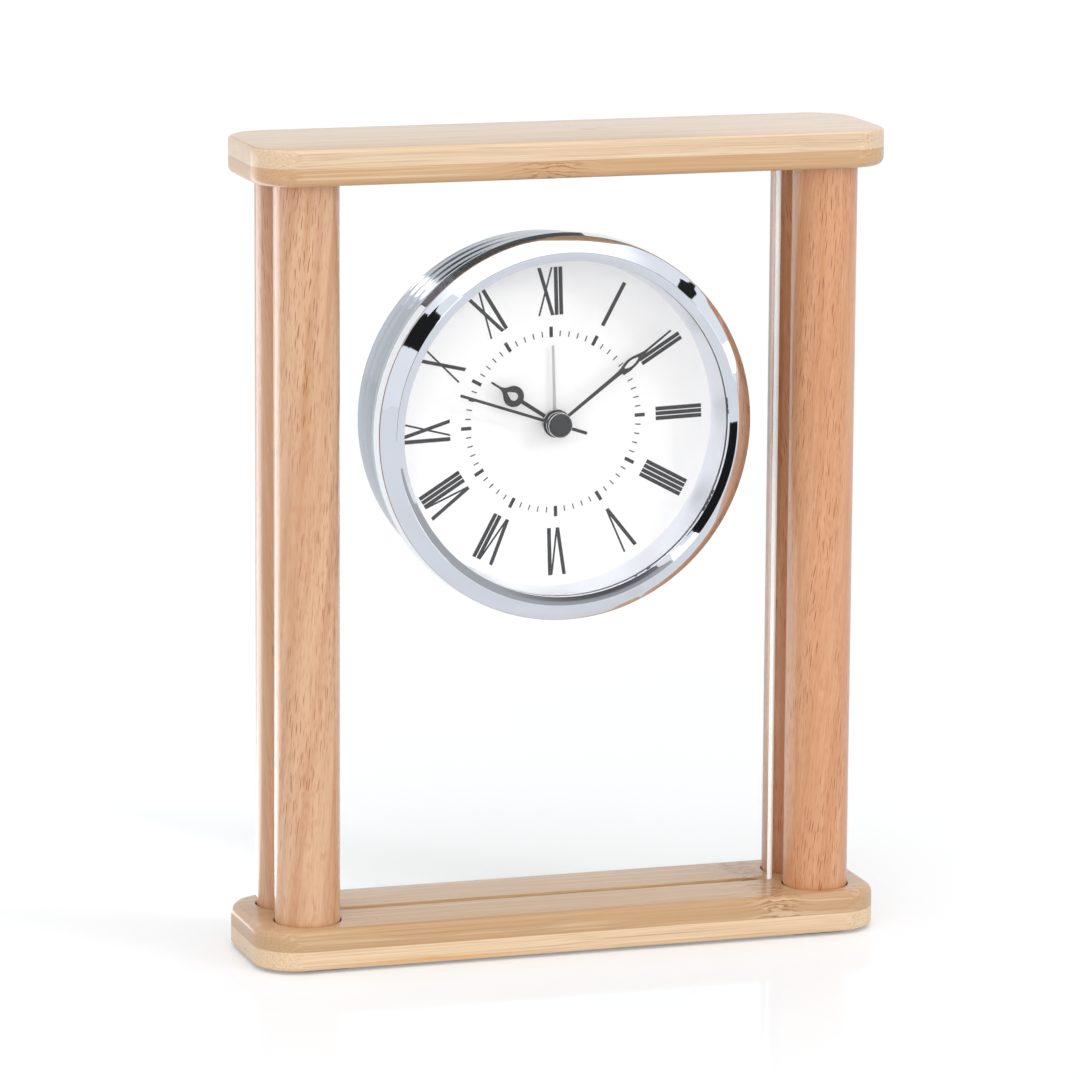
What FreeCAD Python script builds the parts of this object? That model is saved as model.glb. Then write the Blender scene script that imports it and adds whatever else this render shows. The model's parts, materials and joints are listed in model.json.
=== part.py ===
"""Desk clock: a round quartz alarm clock held in a glass pane, in a frame of two boards and four columns.

Millimetres. +Z is up and +Y is away from the reader of the dial. The origin is the centre of the
footprint, at the level of the surface that the clock stands on. Everything in the clock head is
drawn about an axis along +Y through the origin, then lifted to the dial's place by in_head().
"""
import FreeCAD, Part
import math
import os

Vec = FreeCAD.Vector
os.makedirs("parts", exist_ok=True)

# ---- driving dimensions -------------------------------------------------------------------------
# frame
HEIGHT = 200.0
WIDTH = 159.0
CORNER_R = 11.0              # corners of both boards, seen from above
PAD_T = 0.8                  # felt strips under the base
BASE_T = 10.0
TOP_T = 9.0
BASE_ROUND = 2.2             # upper edge of the base
BOARD_ROUND = 1.0            # every other edge of the boards
COLUMN_R = 7.95
COLUMN_GAP = 1.3             # between a front column and the one behind it
COLUMN_END = 6.15            # from a column to the boards' end
COLUMN_EDGE = 3.85           # from a column to the boards' long edge
SOCKET_DEPTH = 4.0
SOCKET_PLAY = 0.3
SCREW_R = 1.75
SCREW_HEAD_R = 3.3
SCREW_HEAD_T = 2.2
SCREW_LENGTH = 20.0
SCREW_SINK = 0.6             # from the pads to the screw heads
SCREW_HEAD_PLAY = 0.3
SCREW_SHANK_PLAY = 0.2       # in the base
SCREW_PLAY = 0.05            # in the columns' pilot holes
CROSS_LENGTH = 4.0           # cross recess of the screw heads
CROSS_WIDTH = 0.8
CROSS_DEPTH = 1.2
PAD_WIDTH = 26.0
PAD_INSET = 3.2
PAD_CORNER_R = 3.0
# pane
GLASS_T = 4.0
GLASS_END_PLAY = 0.75        # from the pane's ends to the columns
GLASS_BEVEL = 0.6
SLOT_DEPTH = 4.0
SLOT_PLAY = 0.2
PANE_TOP_PLAY = 0.4          # over the pane, in the top board's slot
# clock head
HEAD_DROP = 62.7             # from the underside of the top board to the centre of the dial
HEAD_TURN = 1.8              # degrees, the head is only held by friction and sits turned this much
DRUM_R = 45.1
DRUM_WALL = 0.9
SLEEVE_T = 0.9               # rubber sleeve between drum and pane
FLANGE_WIDTH = 2.3           # beyond the drum
FLANGE_T = 1.9
BEZEL_OVER = 0.2             # beyond the flange
BEZEL_CREST = 1.3            # crest inside the drum's radius
BEZEL_LIP = 3.9              # lip inside the drum's radius
BEZEL_HEIGHT = 6.2           # crest above the flange
BEZEL_SHOULDER = 1.7         # shoulder inside the bezel's radius
BEZEL_WALL = 1.2             # wall of the skirt that is pressed into the drum
SKIRT_LENGTH = 4.7
CRYSTAL_DROP = 1.9           # from the bezel's crest to the crystal
CRYSTAL_T = 1.5
DIAL_Y = 3.2                 # front face of the dial
DIAL_T = 0.6
DIAL_PLAY = 0.3              # round the dial
COVER_T = 1.2
LIP_WIDTH = 2.5              # rolled edge at the back of the drum
LIP_T = 0.4
SEAT = 0.05                  # radial play where round pieces are seated in one another
# movement
PLATE_T = 1.2
LEVEL_PITCH = 1.1            # from one layer of wheels to the next
WHEEL_T = 0.7
PIVOT_PLAY = 0.05
ARBOR_R = 0.5                # carries the second hand
PIVOT_R = 0.4                # rotor, intermediate and third wheel
MOTION_PIVOT_R = 0.5
MAGNET_R = 2.6
TUBE_WALL = 0.5
TRAIN_DISTANCE = 9.4         # third wheel from the centre
FAST_DISTANCE = 9.45         # intermediate wheel from the centre
MOTION_DISTANCE = 9.6        # motion wheel from the centre
ROTOR_DISTANCE = 7.2         # rotor from the intermediate wheel
PLATE_HALF = 24.5
PLATE_LOW = -15.5
PLATE_HIGH = 29.0
PLATE_CORNER_R = 3.0
PILLAR_PLACES = [(-21.5, 25.0), (21.5, 25.0), (-21.5, -12.5), (21.5, -12.5)]
PILLAR_R = 2.0
MOVEMENT_SCREW_R = 0.9
COIL_Z = 25.0
COIL_R = 2.3
COIL_LENGTH = 18.0
COIL_START = -4.0
CHEEK_T = 0.8                # flanges at the coil's ends
CORE_HALF = 1.1              # half the width of the coil's core
STATOR_LEFT = -9.0
STATOR_RIGHT = 19.0
STATOR_T = 0.8
SETTING_SHAFT_R = 1.0
KNOB_Z = 3.6                 # both setting knobs, above the centre
ALARM_DISTANCE = 15.6        # alarm setting shaft from the centre
SETTING_DISTANCE = 10.8      # time setting shaft from the motion wheel
KNOB_R = 6.5
KNOB_T = 3.2
KNOB_GRIP_T = 0.8            # the raised bar's share of the knob's height
KNOB_FLUTES = 24
POCKET_PLAY = 2.6            # finger room round the knobs
# battery, size AA
CELL_R = 7.1
CELL_LENGTH = 50.5
CELL_ROOM = 4.7              # contacts, both ends together
CELL_PLAY = 0.25             # above and below the cell
CELL_SKIM = 0.1              # in front of and behind the cell
BAY_GAP = 0.75               # from the movement to the battery bay
BAY_WALL = 0.8
BAY_FLOOR = 0.5
DOOR_PLAY = 0.2
NOTCH_R = 5.0                # thumb notch over the door
NOTCH_DEPTH = 0.7
GROOVE_PITCH = 0.9           # grip grooves of the door
GROOVE_DEPTH = 0.3
HINGE_R = 0.55
HINGE_PIN_R = 0.45
# alarm parts
BUZZER_AT = (-33.0, 10.0)
BUZZER_R = 7.5
BUZZER_T = 5.0
SOUND_HOLE_R = 0.6
SOUND_RING_R = 3.0
SWITCH_Z = 24.2
SWITCH_TRAVEL = 4.0
SWITCH_GRIP = 4.0
# hands, as lengths from the centre and clock positions in degrees
HOUR_LENGTH = 19.8
HOUR_RING = 13.1
HOUR_RING_R = 2.6
MINUTE_LENGTH = 36.1
MINUTE_LEAF = 23.5
SECOND_LENGTH = 26.5
SECOND_TAIL = 7.4
ALARM_LENGTH = 19.05
HOUR_AT = 305.0
MINUTE_AT = 54.4
SECOND_AT = 290.2
ALARM_AT = 0.0
HAND_T = 0.3
HUB_R = 3.5
CAP_R = 3.0

# ---- derived places -----------------------------------------------------------------------------
BASE_TOP = PAD_T + BASE_T
TOP_BOTTOM = HEIGHT - TOP_T
COLUMN_X = WIDTH / 2 - COLUMN_END - COLUMN_R
COLUMN_Y = COLUMN_R + COLUMN_GAP / 2
DEPTH = 2 * (COLUMN_Y + COLUMN_R + COLUMN_EDGE)
HEAD_Z = TOP_BOTTOM - HEAD_DROP
GLASS_HALF = COLUMN_X - COLUMN_R - GLASS_END_PLAY
GLASS_FRONT = -GLASS_T / 2
FLANGE_FRONT = GLASS_FRONT - FLANGE_T
BEZEL_FRONT = FLANGE_FRONT - BEZEL_HEIGHT
DRUM_INNER_R = DRUM_R - DRUM_WALL
FLANGE_R = DRUM_R + FLANGE_WIDTH
LIP_R = DRUM_R - LIP_WIDTH
BEZEL_R = FLANGE_R + BEZEL_OVER
BEZEL_CREST_R = DRUM_R - BEZEL_CREST
BEZEL_LIP_R = DRUM_R - BEZEL_LIP
DIAL_BACK = DIAL_Y + DIAL_T
PLATE_BACK = DIAL_BACK + PLATE_T
BAY_FRONT = DIAL_BACK + BAY_FLOOR
CELL_Y = BAY_FRONT + CELL_R + CELL_SKIM
COVER_INNER = CELL_Y + CELL_R + CELL_SKIM
COVER_BACK = COVER_INNER + COVER_T
DRUM_BACK = COVER_BACK + LIP_T
BRIDGE_FRONT = PLATE_BACK + 9.4
BRIDGE_BACK = BRIDGE_FRONT + 1.0
POCKET_FLOOR = COVER_BACK - 3.3
POCKET_FLOOR_T = 1.0


def level(index):
    """Front face of one layer of wheels; layer 0 lies next to the front plate."""
    return PLATE_BACK + 0.6 + LEVEL_PITCH * index


# ---- outlines and solids ------------------------------------------------------------------------
def rounded_wire(corners, to_point):
    """A closed wire through (u, v, radius) corners, each rounded by a tangent arc of that radius."""
    count = len(corners)
    spans = []
    for i in range(count):
        u, v, radius = corners[i]
        before = corners[i - 1]
        after = corners[(i + 1) % count]
        into = Vec(u - before[0], v - before[1], 0).normalize()
        out = Vec(after[0] - u, after[1] - v, 0).normalize()
        turn = into.getAngle(out)
        here = Vec(u, v, 0)
        if radius <= 0 or turn < 1e-6:
            spans.append((here, None, here))
            continue
        reach = radius * math.tan(turn / 2)
        start = here - into * reach
        end = here + out * reach
        inward = (out - into).normalize()
        centre = here + inward * (radius / math.cos(turn / 2))
        spans.append((start, centre - inward * radius, end))
    edges = []
    for i in range(count):
        start, middle, end = spans[i]
        if middle is not None:
            arc = Part.Arc(to_point(start), to_point(middle), to_point(end))
            edges.append(arc.toShape())
        leave = to_point(end)
        arrive = to_point(spans[(i + 1) % count][0])
        if (arrive - leave).Length > 1e-6:
            edges.append(Part.LineSegment(leave, arrive).toShape())
    return Part.Wire(edges)


def rectangle(u0, v0, u1, v1, radius=0):
    return [(u0, v0, radius), (u1, v0, radius), (u1, v1, radius), (u0, v1, radius)]


def upright(corners, z0, z1):
    """A plan outline (x, y) extruded from z0 up to z1."""
    wire = rounded_wire(corners, lambda p: Vec(p.x, p.y, z0))
    return Part.Face(wire).extrude(Vec(0, 0, z1 - z0))


def slab(corners, y0, y1):
    """An outline (x, z) seen from the front, extruded from y0 back to y1."""
    wire = rounded_wire(corners, lambda p: Vec(p.x, y0, p.y))
    return Part.Face(wire).extrude(Vec(0, y1 - y0, 0))


def turned(corners):
    """A section (radius, y) turned about the +Y axis."""
    wire = rounded_wire(corners, lambda p: Vec(p.x, p.y, 0))
    return Part.Face(wire).revolve(Vec(0, 0, 0), Vec(0, 1, 0), 360)


def disc(radius, y0, y1, at=(0, 0)):
    return Part.makeCylinder(radius, y1 - y0, Vec(at[0], y0, at[1]), Vec(0, 1, 0))


def ring(outer, inner, y0, y1, at=(0, 0)):
    return disc(outer, y0, y1, at).cut(disc(inner, y0 - 1, y1 + 1, at))


def fused(shapes):
    result = shapes[0]
    for shape in shapes[1:]:
        result = result.fuse(shape)
    return result.removeSplitter()


def polar(distance, degrees):
    """A place at a clock position: 0 is twelve o'clock and angles grow clockwise."""
    angle = math.radians(degrees)
    return (distance * math.sin(angle), distance * math.cos(angle))


def at_clock(shape, degrees):
    """Turn a shape clockwise, as the reader sees it, from twelve o'clock."""
    moved = shape.copy()
    moved.rotate(Vec(0, 0, 0), Vec(0, 1, 0), degrees)
    return moved


def in_head(shape):
    """From the head's own axis to its place in the pane."""
    moved = shape.copy()
    moved.rotate(Vec(0, 0, 0), Vec(0, 1, 0), -HEAD_TURN)
    moved.translate(Vec(0, 0, HEAD_Z))
    return moved


def save(name, shape):
    if isinstance(shape, list):
        shape = Part.makeCompound(shape)
    for solid in shape.Solids:
        if not solid.isValid() or solid.Volume <= 0:
            raise ValueError(f"{name} holds a broken solid")
    shape.exportStep(f"parts/{name}.step")
    print(name, len(shape.Solids), round(shape.Volume, 2))


# ---- frame --------------------------------------------------------------------------------------
COLUMN_PLACES = {
    "column_front_left": (-COLUMN_X, -COLUMN_Y),
    "column_front_right": (COLUMN_X, -COLUMN_Y),
    "column_rear_left": (-COLUMN_X, COLUMN_Y),
    "column_rear_right": (COLUMN_X, COLUMN_Y),
}


def board(z0, z1, lower_round, upper_round):
    """A board with rounded corners in plan and eased edges all round."""
    outline = rectangle(-WIDTH / 2, -DEPTH / 2, WIDTH / 2, DEPTH / 2, CORNER_R)
    solid = upright(outline, z0, z1)
    for z, radius in ((z0, lower_round), (z1, upper_round)):
        rim = [e for e in solid.Edges if all(abs(v.Z - z) < 1e-6 for v in e.Vertexes)]
        solid = solid.makeFillet(radius, rim)
    return solid


def slot(z0, z1):
    """Room for the pane's edge in a board."""
    half = GLASS_HALF + SLOT_PLAY
    return upright(rectangle(-half, GLASS_FRONT - SLOT_PLAY, half, -GLASS_FRONT + SLOT_PLAY), z0, z1)


def sockets(z0, z1):
    """Room for the columns' ends in a board."""
    radius = COLUMN_R + SOCKET_PLAY
    return [Part.makeCylinder(radius, z1 - z0, Vec(x, y, z0)) for x, y in COLUMN_PLACES.values()]


def make_frame():
    base = board(PAD_T, BASE_TOP, BOARD_ROUND, BASE_ROUND)
    base = base.cut(slot(BASE_TOP - SLOT_DEPTH, BASE_TOP + 1))
    for socket in sockets(BASE_TOP - SOCKET_DEPTH, BASE_TOP + 1):
        base = base.cut(socket)
    top = board(TOP_BOTTOM, HEIGHT, BOARD_ROUND, BOARD_ROUND)
    top = top.cut(slot(TOP_BOTTOM - 1, TOP_BOTTOM + SLOT_DEPTH))
    for socket in sockets(TOP_BOTTOM - 1, TOP_BOTTOM + SOCKET_DEPTH):
        top = top.cut(socket)

    head_floor = PAD_T + SCREW_HEAD_T + SCREW_SINK
    column_foot = BASE_TOP - SOCKET_DEPTH
    column_length = TOP_BOTTOM + SOCKET_DEPTH - column_foot
    screws = []
    for name, (x, y) in COLUMN_PLACES.items():
        below = Vec(x, y, PAD_T - 1)
        base = base.cut(Part.makeCylinder(SCREW_HEAD_R + SCREW_HEAD_PLAY, head_floor - PAD_T + 1, below))
        base = base.cut(Part.makeCylinder(SCREW_R + SCREW_SHANK_PLAY, BASE_T, below))
        column = Part.makeCylinder(COLUMN_R, column_length, Vec(x, y, column_foot))
        pilot_length = head_floor + SCREW_LENGTH - column_foot
        pilot = Part.makeCylinder(SCREW_R + SCREW_PLAY, pilot_length, Vec(x, y, column_foot - 1))
        save(name, column.cut(pilot))
        head_z = head_floor - SCREW_HEAD_T
        head = Part.makeCylinder(SCREW_HEAD_R, SCREW_HEAD_T, Vec(x, y, head_z))
        shank = Part.makeCylinder(SCREW_R, SCREW_LENGTH, Vec(x, y, head_z))
        screw = head.fuse(shank)
        for angle in (0, 90):
            blade = Part.makeBox(CROSS_LENGTH, CROSS_WIDTH, CROSS_DEPTH,
                                 Vec(-CROSS_LENGTH / 2, -CROSS_WIDTH / 2, head_z))
            blade.rotate(Vec(0, 0, 0), Vec(0, 0, 1), angle)
            blade.translate(Vec(x, y, 0))
            screw = screw.cut(blade)
        screws.append(screw)
    save("base_board", base)
    save("top_board", top)
    save("base_screws", screws)

    pad_length = DEPTH - 2 * PAD_INSET
    for side, name in ((-1, "foot_pad_left"), (1, "foot_pad_right")):
        outer = side * (WIDTH / 2 - PAD_INSET)
        inner = outer - side * PAD_WIDTH
        low, high = sorted((outer, inner))
        outline = rectangle(low, -pad_length / 2, high, pad_length / 2, PAD_CORNER_R)
        save(name, upright(outline, 0, PAD_T))


# ---- pane and head shell ------------------------------------------------------------------------
def make_pane():
    low = BASE_TOP - SLOT_DEPTH
    high = TOP_BOTTOM + SLOT_DEPTH - PANE_TOP_PLAY
    pane = slab(rectangle(-GLASS_HALF, low, GLASS_HALF, high), GLASS_FRONT, -GLASS_FRONT)
    rims = [e for e in pane.Edges if abs(e.Vertexes[0].Y - e.Vertexes[-1].Y) < 1e-6]
    pane = pane.makeChamfer(GLASS_BEVEL, rims)
    hole = disc(DRUM_R + SLEEVE_T, GLASS_FRONT - 1, 1 - GLASS_FRONT)
    hole.translate(Vec(0, 0, HEAD_Z))
    save("glass_pane", pane.cut(hole))
    sleeve = ring(DRUM_R + SLEEVE_T - SEAT, DRUM_R + SEAT, GLASS_FRONT, -GLASS_FRONT)
    save("pane_sleeve", in_head(sleeve))


def make_shell():
    """Drum with its flange, bezel, crystal, spacer ring and dial."""
    drum = turned([
        (DRUM_INNER_R, FLANGE_FRONT, 0), (FLANGE_R, FLANGE_FRONT, 0.3), (FLANGE_R, GLASS_FRONT, 0.2),
        (DRUM_R, GLASS_FRONT, 0), (DRUM_R, DRUM_BACK, 0.38), (LIP_R, DRUM_BACK, 0),
        (LIP_R, COVER_BACK, 0), (DRUM_INNER_R, COVER_BACK, 0)])
    save("case_drum", in_head(drum))

    skirt_r = DRUM_INNER_R - SEAT
    bore_r = skirt_r - BEZEL_WALL
    shoulder_y = BEZEL_FRONT + CRYSTAL_DROP
    skirt_y = FLANGE_FRONT + SKIRT_LENGTH
    shoulder_r = BEZEL_R - BEZEL_SHOULDER
    bezel = turned([
        (BEZEL_LIP_R, shoulder_y, 0), (BEZEL_LIP_R, BEZEL_FRONT + 0.95, 0.25),
        (BEZEL_CREST_R, BEZEL_FRONT, 0.3), (shoulder_r, BEZEL_FRONT + 0.6, 2.5),
        (BEZEL_R - 0.1, BEZEL_FRONT + 1.75, 0.9), (BEZEL_R, FLANGE_FRONT, 0.3),
        (skirt_r, FLANGE_FRONT, 0), (skirt_r, skirt_y, 0), (bore_r, skirt_y, 0), (bore_r, shoulder_y, 0)])
    save("bezel", in_head(bezel))

    crystal_r = bore_r - SEAT
    crystal_back = shoulder_y + CRYSTAL_T
    save("crystal", in_head(disc(crystal_r, shoulder_y, crystal_back)))
    save("spacer_ring", in_head(ring(crystal_r, BEZEL_LIP_R, crystal_back, DIAL_Y)))
    centre_hole = tube_radius(3) + 0.4
    save("dial", in_head(ring(DRUM_INNER_R - DIAL_PLAY, centre_hole, DIAL_Y, DIAL_BACK)))


# ---- wheels -------------------------------------------------------------------------------------
def tube_radius(index):
    """Outside radius of the arbor (0) and of the three tubes that turn on it (1 to 3)."""
    return ARBOR_R + index * (TUBE_WALL + PIVOT_PLAY)


TRAIN = {
    "rotor": (12, 60, ROTOR_DISTANCE),
    "fast": (10, 60, FAST_DISTANCE),
    "second": (8, 60, TRAIN_DISTANCE),
    "third": (8, 64, TRAIN_DISTANCE),
    "centre": (12, 36, MOTION_DISTANCE),
    "motion": (10, 40, MOTION_DISTANCE),
    "setting": (18, 36, SETTING_DISTANCE),
    "alarm": (38, 40, ALARM_DISTANCE),
}

CENTRE = (0.0, 0.0)
FAST_AT = polar(FAST_DISTANCE, 0)
THIRD_AT = polar(TRAIN_DISTANCE, 240)
MOTION_AT = polar(MOTION_DISTANCE, 120)
ROTOR_AT = (FAST_AT[0] + ROTOR_DISTANCE * 0.5, FAST_AT[1] + ROTOR_DISTANCE * math.sqrt(0.75))
ALARM_KNOB_AT = (-math.sqrt(ALARM_DISTANCE ** 2 - KNOB_Z ** 2), KNOB_Z)
SETTING_RISE = KNOB_Z - MOTION_AT[1]
TIME_KNOB_AT = (MOTION_AT[0] + math.sqrt(SETTING_DISTANCE ** 2 - SETTING_RISE ** 2), KNOB_Z)


def module_of(mesh):
    small, large, distance = TRAIN[mesh]
    return 2 * distance / (small + large)


def direction(start, end):
    """Angle of the line from one axis to another, anticlockwise from +X as the reader sees it."""
    return math.degrees(math.atan2(end[1] - start[1], end[0] - start[0]))


def mating_tooth(teeth, tooth_at, towards, mate_teeth):
    """Where the mate's tooth stands so that its gap takes the tooth next to the line of centres."""
    pitch = 360.0 / teeth
    offset = (tooth_at - towards + pitch / 2) % pitch - pitch / 2
    gap = towards + 180 - offset * teeth / mate_teeth
    return gap + 180.0 / mate_teeth


def toothed(teeth, module, tooth_at, y0, thickness, at):
    """A spur wheel with straight-flanked teeth, slim enough to run free in its mate."""
    radius = teeth * module / 2
    root = radius - 1.2 * module
    tip = radius + 0.75 * module
    pitch = 2 * math.pi / teeth
    corners = []
    for i in range(teeth):
        middle = math.radians(tooth_at) + i * pitch
        for distance, share in ((root, -0.25), (tip, -0.10), (tip, 0.10), (root, 0.25)):
            angle = middle + share * pitch
            corners.append((distance * math.cos(angle), distance * math.sin(angle), 0))
    wheel = slab(corners, y0, y0 + thickness)
    wheel.translate(Vec(at[0], 0, at[1]))
    return wheel


def lightened(wheel, inner, outer, y0, at, count=4):
    """A wheel with a ring of round holes between two radii."""
    radius = (outer - inner) / 2 * 0.72
    for i in range(count):
        angle = math.radians(45 + 360 / count * i)
        reach = (inner + outer) / 2
        place = (at[0] + reach * math.cos(angle), at[1] + reach * math.sin(angle))
        wheel = wheel.cut(disc(radius, y0 - 1, y0 + WHEEL_T + 1, place))
    return wheel


def arbor(radius, at):
    """A shaft between the front plate and the bridge."""
    return disc(radius, DIAL_BACK + 0.3, BRIDGE_BACK - 0.2, at)


def wheel_of(mesh, which, y0, at, tooth_at, holes_from=0):
    """The pinion or the wheel of one mesh, the wheel lightened by holes from a given radius outwards."""
    small, large, _ = TRAIN[mesh]
    teeth = small if which == "pinion" else large
    module = module_of(mesh)
    solid = toothed(teeth, module, tooth_at, y0, WHEEL_T, at)
    if holes_from:
        solid = lightened(solid, holes_from, teeth * module / 2 - 1.4, y0, at)
    return solid


def wheel_tooth(mesh, pinion_at, wheel_at):
    """The pinion points a tooth at its wheel; this is where the wheel's own first tooth stands."""
    small, large, _ = TRAIN[mesh]
    towards = direction(pinion_at, wheel_at)
    return mating_tooth(small, towards, towards, large)


def make_train():
    """Rotor to hands: every wheel with the pinion and shaft or tube that turns with it."""
    fast_tooth = direction(FAST_AT, CENTRE)
    second_tooth = direction(CENTRE, THIRD_AT)
    third_tooth = direction(THIRD_AT, CENTRE)
    centre_tooth = direction(CENTRE, MOTION_AT)
    motion_tooth = direction(MOTION_AT, CENTRE)
    motion_wheel_tooth = wheel_tooth("centre", CENTRE, MOTION_AT)
    setting_tooth = mating_tooth(TRAIN["setting"][1], motion_wheel_tooth,
                                 direction(MOTION_AT, TIME_KNOB_AT), TRAIN["setting"][0])

    magnet = disc(MAGNET_R, level(6) + WHEEL_T + 0.2, level(6) + WHEEL_T + 1.2, ROTOR_AT)
    save("rotor", in_head(fused([
        wheel_of("rotor", "pinion", level(6), ROTOR_AT, direction(ROTOR_AT, FAST_AT)),
        magnet, arbor(PIVOT_R, ROTOR_AT)])))
    save("intermediate_wheel", in_head(fused([
        wheel_of("rotor", "wheel", level(6), FAST_AT, wheel_tooth("rotor", ROTOR_AT, FAST_AT), 1.2),
        wheel_of("fast", "pinion", level(5), FAST_AT, fast_tooth), arbor(PIVOT_R, FAST_AT)])))

    hand_tops = hand_levels()
    bridge_end = BRIDGE_BACK - 0.2
    save("second_wheel", in_head(fused([
        wheel_of("fast", "wheel", level(5), CENTRE, wheel_tooth("fast", FAST_AT, CENTRE), 1.6),
        wheel_of("second", "pinion", level(4), CENTRE, second_tooth),
        disc(tube_radius(0), hand_tops["second"] - HAND_T, bridge_end)])))
    save("third_wheel", in_head(fused([
        wheel_of("second", "wheel", level(4), THIRD_AT, wheel_tooth("second", CENTRE, THIRD_AT), 1.6),
        wheel_of("third", "pinion", level(3), THIRD_AT, third_tooth), arbor(PIVOT_R, THIRD_AT)])))
    centre_bore = disc(tube_radius(0) + PIVOT_PLAY, -20, 20)
    save("centre_wheel", in_head(fused([
        wheel_of("third", "wheel", level(3), CENTRE, wheel_tooth("third", THIRD_AT, CENTRE), 2.2),
        wheel_of("centre", "pinion", level(2), CENTRE, centre_tooth),
        disc(tube_radius(1), hand_tops["minute"] - HAND_T, level(3) + WHEEL_T)]).cut(centre_bore)))
    save("motion_wheel", in_head(fused([
        wheel_of("centre", "wheel", level(2), MOTION_AT, motion_wheel_tooth, 1.4),
        wheel_of("motion", "pinion", level(1), MOTION_AT, motion_tooth), arbor(MOTION_PIVOT_R, MOTION_AT)])))
    hour_bore = disc(tube_radius(1) + PIVOT_PLAY, -20, 20)
    save("hour_wheel", in_head(fused([
        wheel_of("motion", "wheel", level(1), CENTRE, wheel_tooth("motion", MOTION_AT, CENTRE), 2.6),
        disc(tube_radius(2), hand_tops["hour"] - HAND_T, level(1) + WHEEL_T)]).cut(hour_bore)))
    alarm_bore = disc(tube_radius(2) + PIVOT_PLAY, -20, 20)
    save("alarm_wheel", in_head(fused([
        wheel_of("alarm", "wheel", level(0), CENTRE, wheel_tooth("alarm", ALARM_KNOB_AT, CENTRE), 3.0),
        disc(tube_radius(3), hand_tops["alarm"] - HAND_T, level(0) + WHEEL_T)]).cut(alarm_bore)))

    knob_seat = POCKET_FLOOR + 0.2
    for name, mesh, layer, at, tooth in (
            ("time_set_shaft", "setting", 2, TIME_KNOB_AT, setting_tooth),
            ("alarm_set_shaft", "alarm", 0, ALARM_KNOB_AT, direction(ALARM_KNOB_AT, CENTRE))):
        shaft = disc(SETTING_SHAFT_R, DIAL_BACK + 0.3, knob_seat + KNOB_T - 1.0, at)
        save(name, in_head(fused([wheel_of(mesh, "pinion", level(layer), at, tooth), shaft])))
    for name, at in (("time_set_knob", TIME_KNOB_AT), ("alarm_set_knob", ALARM_KNOB_AT)):
        save(name, in_head(knob(at, knob_seat)))


def knob(at, y0):
    """A fluted knob with a blind bore for its shaft and a raised bar to grip."""
    face = y0 + KNOB_T - KNOB_GRIP_T
    body = turned([(0, y0, 0), (KNOB_R, y0, 0.3), (KNOB_R, face, 0.5), (0, face, 0)])
    grip = slab(rectangle(-KNOB_R + 1.2, -1.0, KNOB_R - 1.2, 1.0, 0.8), face - 0.4, y0 + KNOB_T)
    solid = fused([body, grip])
    for i in range(KNOB_FLUTES):
        solid = solid.cut(disc(0.32, y0 - 1, y0 + KNOB_T, polar(KNOB_R + 0.1, 360 / KNOB_FLUTES * i)))
    solid.translate(Vec(at[0], 0, at[1]))
    return solid.cut(disc(SETTING_SHAFT_R + SEAT, y0 - 1, y0 + KNOB_T - 0.95, at))


# ---- hands --------------------------------------------------------------------------------------
def hand_levels():
    """Front face of each hand, from the dial outwards."""
    gaps = {"alarm": 1.4, "hour": 2.7, "minute": 4.0, "second": 5.2}
    return {name: DIAL_Y - gap for name, gap in gaps.items()}


def smooth_face(points, y0):
    """A face whose outline is one closed spline through (x, z) points."""
    curve = Part.BSplineCurve()
    curve.interpolate([Vec(x, y0, z) for x, z in points], PeriodicFlag=True)
    return Part.Face(Part.Wire(curve.toShape()))


def blade(stations, y0):
    """A flat hand with smooth sides through (distance from the centre, half width) stations."""
    sides = []
    for side in (1, -1):
        curve = Part.BSplineCurve()
        curve.interpolate([Vec(side * half, y0, distance) for distance, half in stations])
        sides.append(curve.toShape())
    ends = []
    for distance, half in (stations[0], stations[-1]):
        ends.append(Part.LineSegment(Vec(-half, y0, distance), Vec(half, y0, distance)).toShape())
    wire = Part.Wire(Part.__sortEdges__(sides + ends))
    return Part.Face(wire).extrude(Vec(0, HAND_T, 0))


def hub(radius, y0):
    return disc(radius, y0, y0 + HAND_T + 0.3)


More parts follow.
